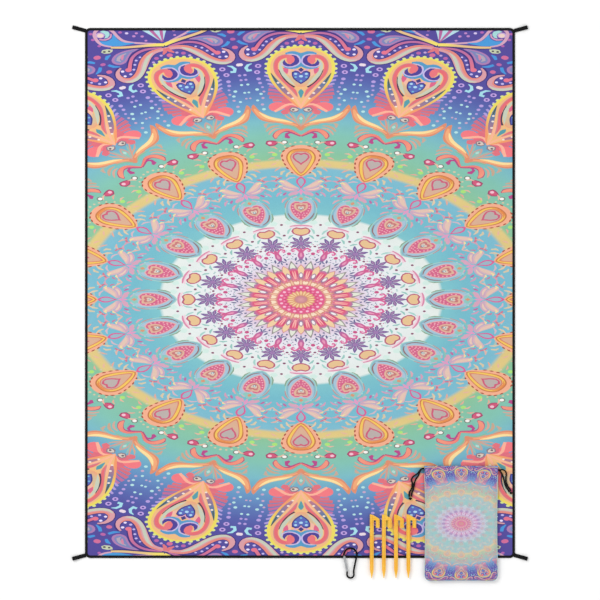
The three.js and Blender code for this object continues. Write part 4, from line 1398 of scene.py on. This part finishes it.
def blow_up(flat, faces, edge_count):
    """The closed bag filled a little by pressure, which puckers its cloth along the seams."""
    count = len(flat)
    back = np.arange(count)
    back[edge_count:] += count - edge_count
    nudge = np.where(np.arange(count) < edge_count, 0, 0.001)
    places = np.vstack([np.column_stack([flat, nudge]), np.column_stack([flat, -nudge])[edge_count:]])
    made = mesh_object("bag_form", places, np.vstack([faces, back[faces][:, ::-1]]))
    cloth = made.modifiers.new("cloth", "CLOTH")
    for label, value in CLOTH_SETTINGS.items():
        setattr(cloth.settings, label, value)
    cloth.settings.effector_weights.gravity = 0
    cloth.collision_settings.use_collision = False
    for number in range(1, BLOWING_FRAMES + 1):
        scene.frame_set(number)
    evaluated = made.evaluated_get(bpy.context.evaluated_depsgraph_get())
    blown = np.array([v.co for v in evaluated.data.vertices])
    bpy.data.objects.remove(made)
    return blown[:count], blown[back]


def softened(name, places, faces):
    """One sheet of the bag after a level of subdivision."""
    made = mesh_object(name, places, faces)
    made.modifiers.new("finer", "SUBSURF").levels = 1
    evaluated = made.evaluated_get(bpy.context.evaluated_depsgraph_get())
    points = [v.co.copy() for v in evaluated.data.vertices]
    polygons = [tuple(p.vertices) for p in evaluated.data.polygons]
    bpy.data.objects.remove(made)
    return points, [(q[0], q[1], q[2]) for q in polygons] + [(q[0], q[2], q[3]) for q in polygons]


class BagSheet:
    """Takes a point of the flat bag to its place on the filled bag's front (side 1) or back (side -1)."""

    def __init__(self, flat, faces, blown, side):
        rest = np.column_stack([flat, np.zeros(len(flat))])
        shaped = blown.copy()
        shaped[:, :2] = flat + PULL_IN * (shaped[:, :2] - flat)
        shaped[:, 2] = rounded(shaped[:, 2])
        self.side = side
        self.rest, self.triangles = softened("bag_rest", rest, faces)
        self.shaped, _ = softened("bag_shaped", shaped, faces)
        self.finder = BVHTree.FromPolygons(self.rest, self.triangles)

    def place(self, x, y, off=0.0):
        found, _, index, _ = self.finder.find_nearest((x, y, 0))
        a, b, c = self.triangles[index]
        flat = [self.rest[i] for i in (a, b, c)]
        spot = barycentric_transform(found, *flat, *(self.shaped[i] for i in (a, b, c)))
        height = spot.z * self.side
        near = min(max((y - HEM + PRESS_REACH) / PRESS_REACH, 0), 1)
        gather = math.sin(x * 410 + 1.3 * math.sin(x * 95)) + 0.6 * math.sin(x * 233 + 2)
        gather *= math.exp(-max(HEM - y, 0) / GATHER_REACH) * min((BAG_HALF[0] - abs(x)) / GATHER_EDGE, 1)
        height += gather * GATHER_DEPTH
        height += (CASING_MIDDLE - height) * near * near * (3 - 2 * near)
        if y > HEM:
            height += full_profile((y - HEM) / (CASING_DEPTH / 2) - 1) * CASING_HEIGHT / 2
            spot.y = y
            spot.x += (x - spot.x) * min((y - HEM) / STRAIGHTEN_REACH, 1)
        z = BAG_MIDDLE + self.side * (height + off)
        return Vector((BAG_CENTRE[0] + spot.x, BAG_CENTRE[1] + spot.y, z))


def bag_cuts():
    """The cuts that leave the bag's outline, in its own frame."""
    cuts = side_cuts(BAG_HALF, ((1, 0), (-1, 0), (0, 1), (0, -1)))
    cuts += corner_cuts(BAG_HALF, BAG_CORNER, BAG_LEANS, ((1, -1), (-1, -1)))
    folds = [HEM + CASING_DEPTH * share for share in HEM_FOLDS] + [HEM - drop for drop in BELOW_HEM]
    return cuts + [((0, y), (0, 1), True) for y in folds]


def make_bag_sheet(name, wedge, sheet, nodes):
    """A printed sheet of the bag, laid over its filled shape, with its casing's outer cloth."""
    half = [side / MM for side in BAG_HALF]
    made = printed_sheet(name, wedge, (0, 0), BAG_PRINT_SCALE, half, bag_cuts())
    for vertex in made.data.vertices:
        vertex.co = sheet.place(vertex.co.x, vertex.co.y)
    if sheet.side < 0:
        made.data.flip_normals()
    made.data.update()
    made.data.materials.append(BAG_PRINT)
    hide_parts(*nodes)
    return made


LINING_RINGS, LINING_SIDES = 41, 32
LINING_SHRINK = (0.97, 0.91)
LINING_HALF = BAG_HALF[0] - 0.5 * MM


def make_casing(name, side):
    """The inside of the tunnel that a drawcord runs in, open at both ends."""
    middle = Vector((*BAG_CENTRE, BAG_MIDDLE + side * CASING_MIDDLE))
    middle.y += HEM + CASING_DEPTH / 2
    section = []
    for j in range(LINING_SIDES):
        turn = TAU * j / LINING_SIDES
        round_spot = (math.cos(turn), math.sin(turn))
        corner = [math.copysign(abs(part) ** (2 / CASING_FULLNESS), part) for part in round_spot]
        section.append((corner[0] * CASING_DEPTH / 2, corner[1] * CASING_HEIGHT / 2))
    stations = np.linspace(-LINING_HALF, LINING_HALF, LINING_RINGS)
    points = []
    for shrink, run in zip(LINING_SHRINK, (stations, stations[::-1])):
        points += [middle + Vector((x, across * shrink, up * shrink)) for x in run for across, up in section]
    made = mesh_object(name, points, ring_faces(LINING_RINGS * 2, LINING_SIDES, True))
    made.data.materials.append(BAG_LINING)
    return made


WELT_GAP = 2 * MM
WELT_RADIUS = 1.3 * MM


def make_welt(sheet):
    """The seam's turned-in edges, a thin welt down both sides and round the bottom."""
    line = [sheet.place(x, y) for x, y in bag_outline() if y < HEM - WELT_GAP]
    line = [Vector((p.x, p.y, BAG_MIDDLE)) for p in line]
    made = tube("bag_seam_welt", line, WELT_RADIUS, 8, flatten=0.6)
    made.data.materials.append(BAG_LINING)
    return made


BAG_STEP, BAG_SPACING, BAG_LEAST = 22, 22, 5
STITCH_OFF = 0.2 * MM
CASING_STITCHES = (HEM + 1.2 * MM, BAG_HALF[1] - 3.2 * MM)
SEAM_STITCH_INSET = 5 * MM
SEAM_STITCH_STEP = 4 * MM


def bag_stitch_rows(sheets):
    """Stitches along both edges of each casing, and down the side seam and round the bottom."""
    marks = [[(x * MM, y) for x in range(-122, 123, 3)] for y in CASING_STITCHES]
    seam = [(x, y) for x, y in bag_outline(SEAM_STITCH_INSET, SEAM_STITCH_STEP) if y < HEM]
    runs = [(sheet, run) for sheet in sheets for run in marks] + [(sheet, seam) for sheet in sheets]
    return [([sheet.place(x, y, STITCH_OFF) for x, y in run], False) for sheet, run in runs]


flat, net, edge_count = bag_blank()
front_net, back_net = blow_up(flat, net, edge_count)
front = BagSheet(flat, net, front_net, 1)
back = BagSheet(flat, net, back_net, -1)
small_wedge = HalfWedge(drawn(BAG_STEP, BAG_LEAST), BAG_SPACING)
bag_front = make_bag_sheet("bag_front", small_wedge, front, ("bag_front_panel", "bag_front_casing"))
bag_back = make_bag_sheet("bag_back", small_wedge, back, ("bag_back_panel", "bag_back_casing"))
welt = make_welt(front)
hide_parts("bag_side_seam")
bag_stitches = stitch_rows(
    "bag_stitches", bag_stitch_rows((front, back)), PALE_THREAD, pitch=3.4, length=2.4, width=0.5
)
casings = [make_casing("front_casing_lining", 1), make_casing("back_casing_lining", -1)]
for made in (bag_front, bag_back, welt, bag_stitches, *casings):
    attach(made, "bag")


# ---- floor and light ----


FLOOR_HALF = 9
FLOOR_DROP = 0.5 * MM
STUDIO_STRENGTH = 0.72


def make_floor():
    corners = [(x * FLOOR_HALF, y * FLOOR_HALF, -FLOOR_DROP) for x, y in ((-1, -1), (1, -1), (1, 1), (-1, 1))]
    floor = mesh_object("floor", corners, [(0, 1, 2, 3)])
    floor.data.materials.append(FLOOR)


def area_light(name, place, size, power):
    data = bpy.data.lights.new(name, "AREA")
    data.size = size
    data.energy = power
    lamp = add_object(name, data)
    lamp.location = place
    lamp.rotation_euler = (-Vector(place)).to_track_quat("-Z", "Y").to_euler()


def make_world():
    world = bpy.data.worlds.new("studio")
    world.use_nodes = True
    background = world.node_tree.nodes["Background"]
    background.inputs["Color"].default_value = (1, 1, 1, 1)
    background.inputs["Strength"].default_value = STUDIO_STRENGTH
    scene.world = world


make_floor()
make_world()
area_light("key_light", (-2.2, 1.6, 4.2), 2.5, 95)
area_light("fill_light", (2.4, -1.8, 3.6), 3, 35)
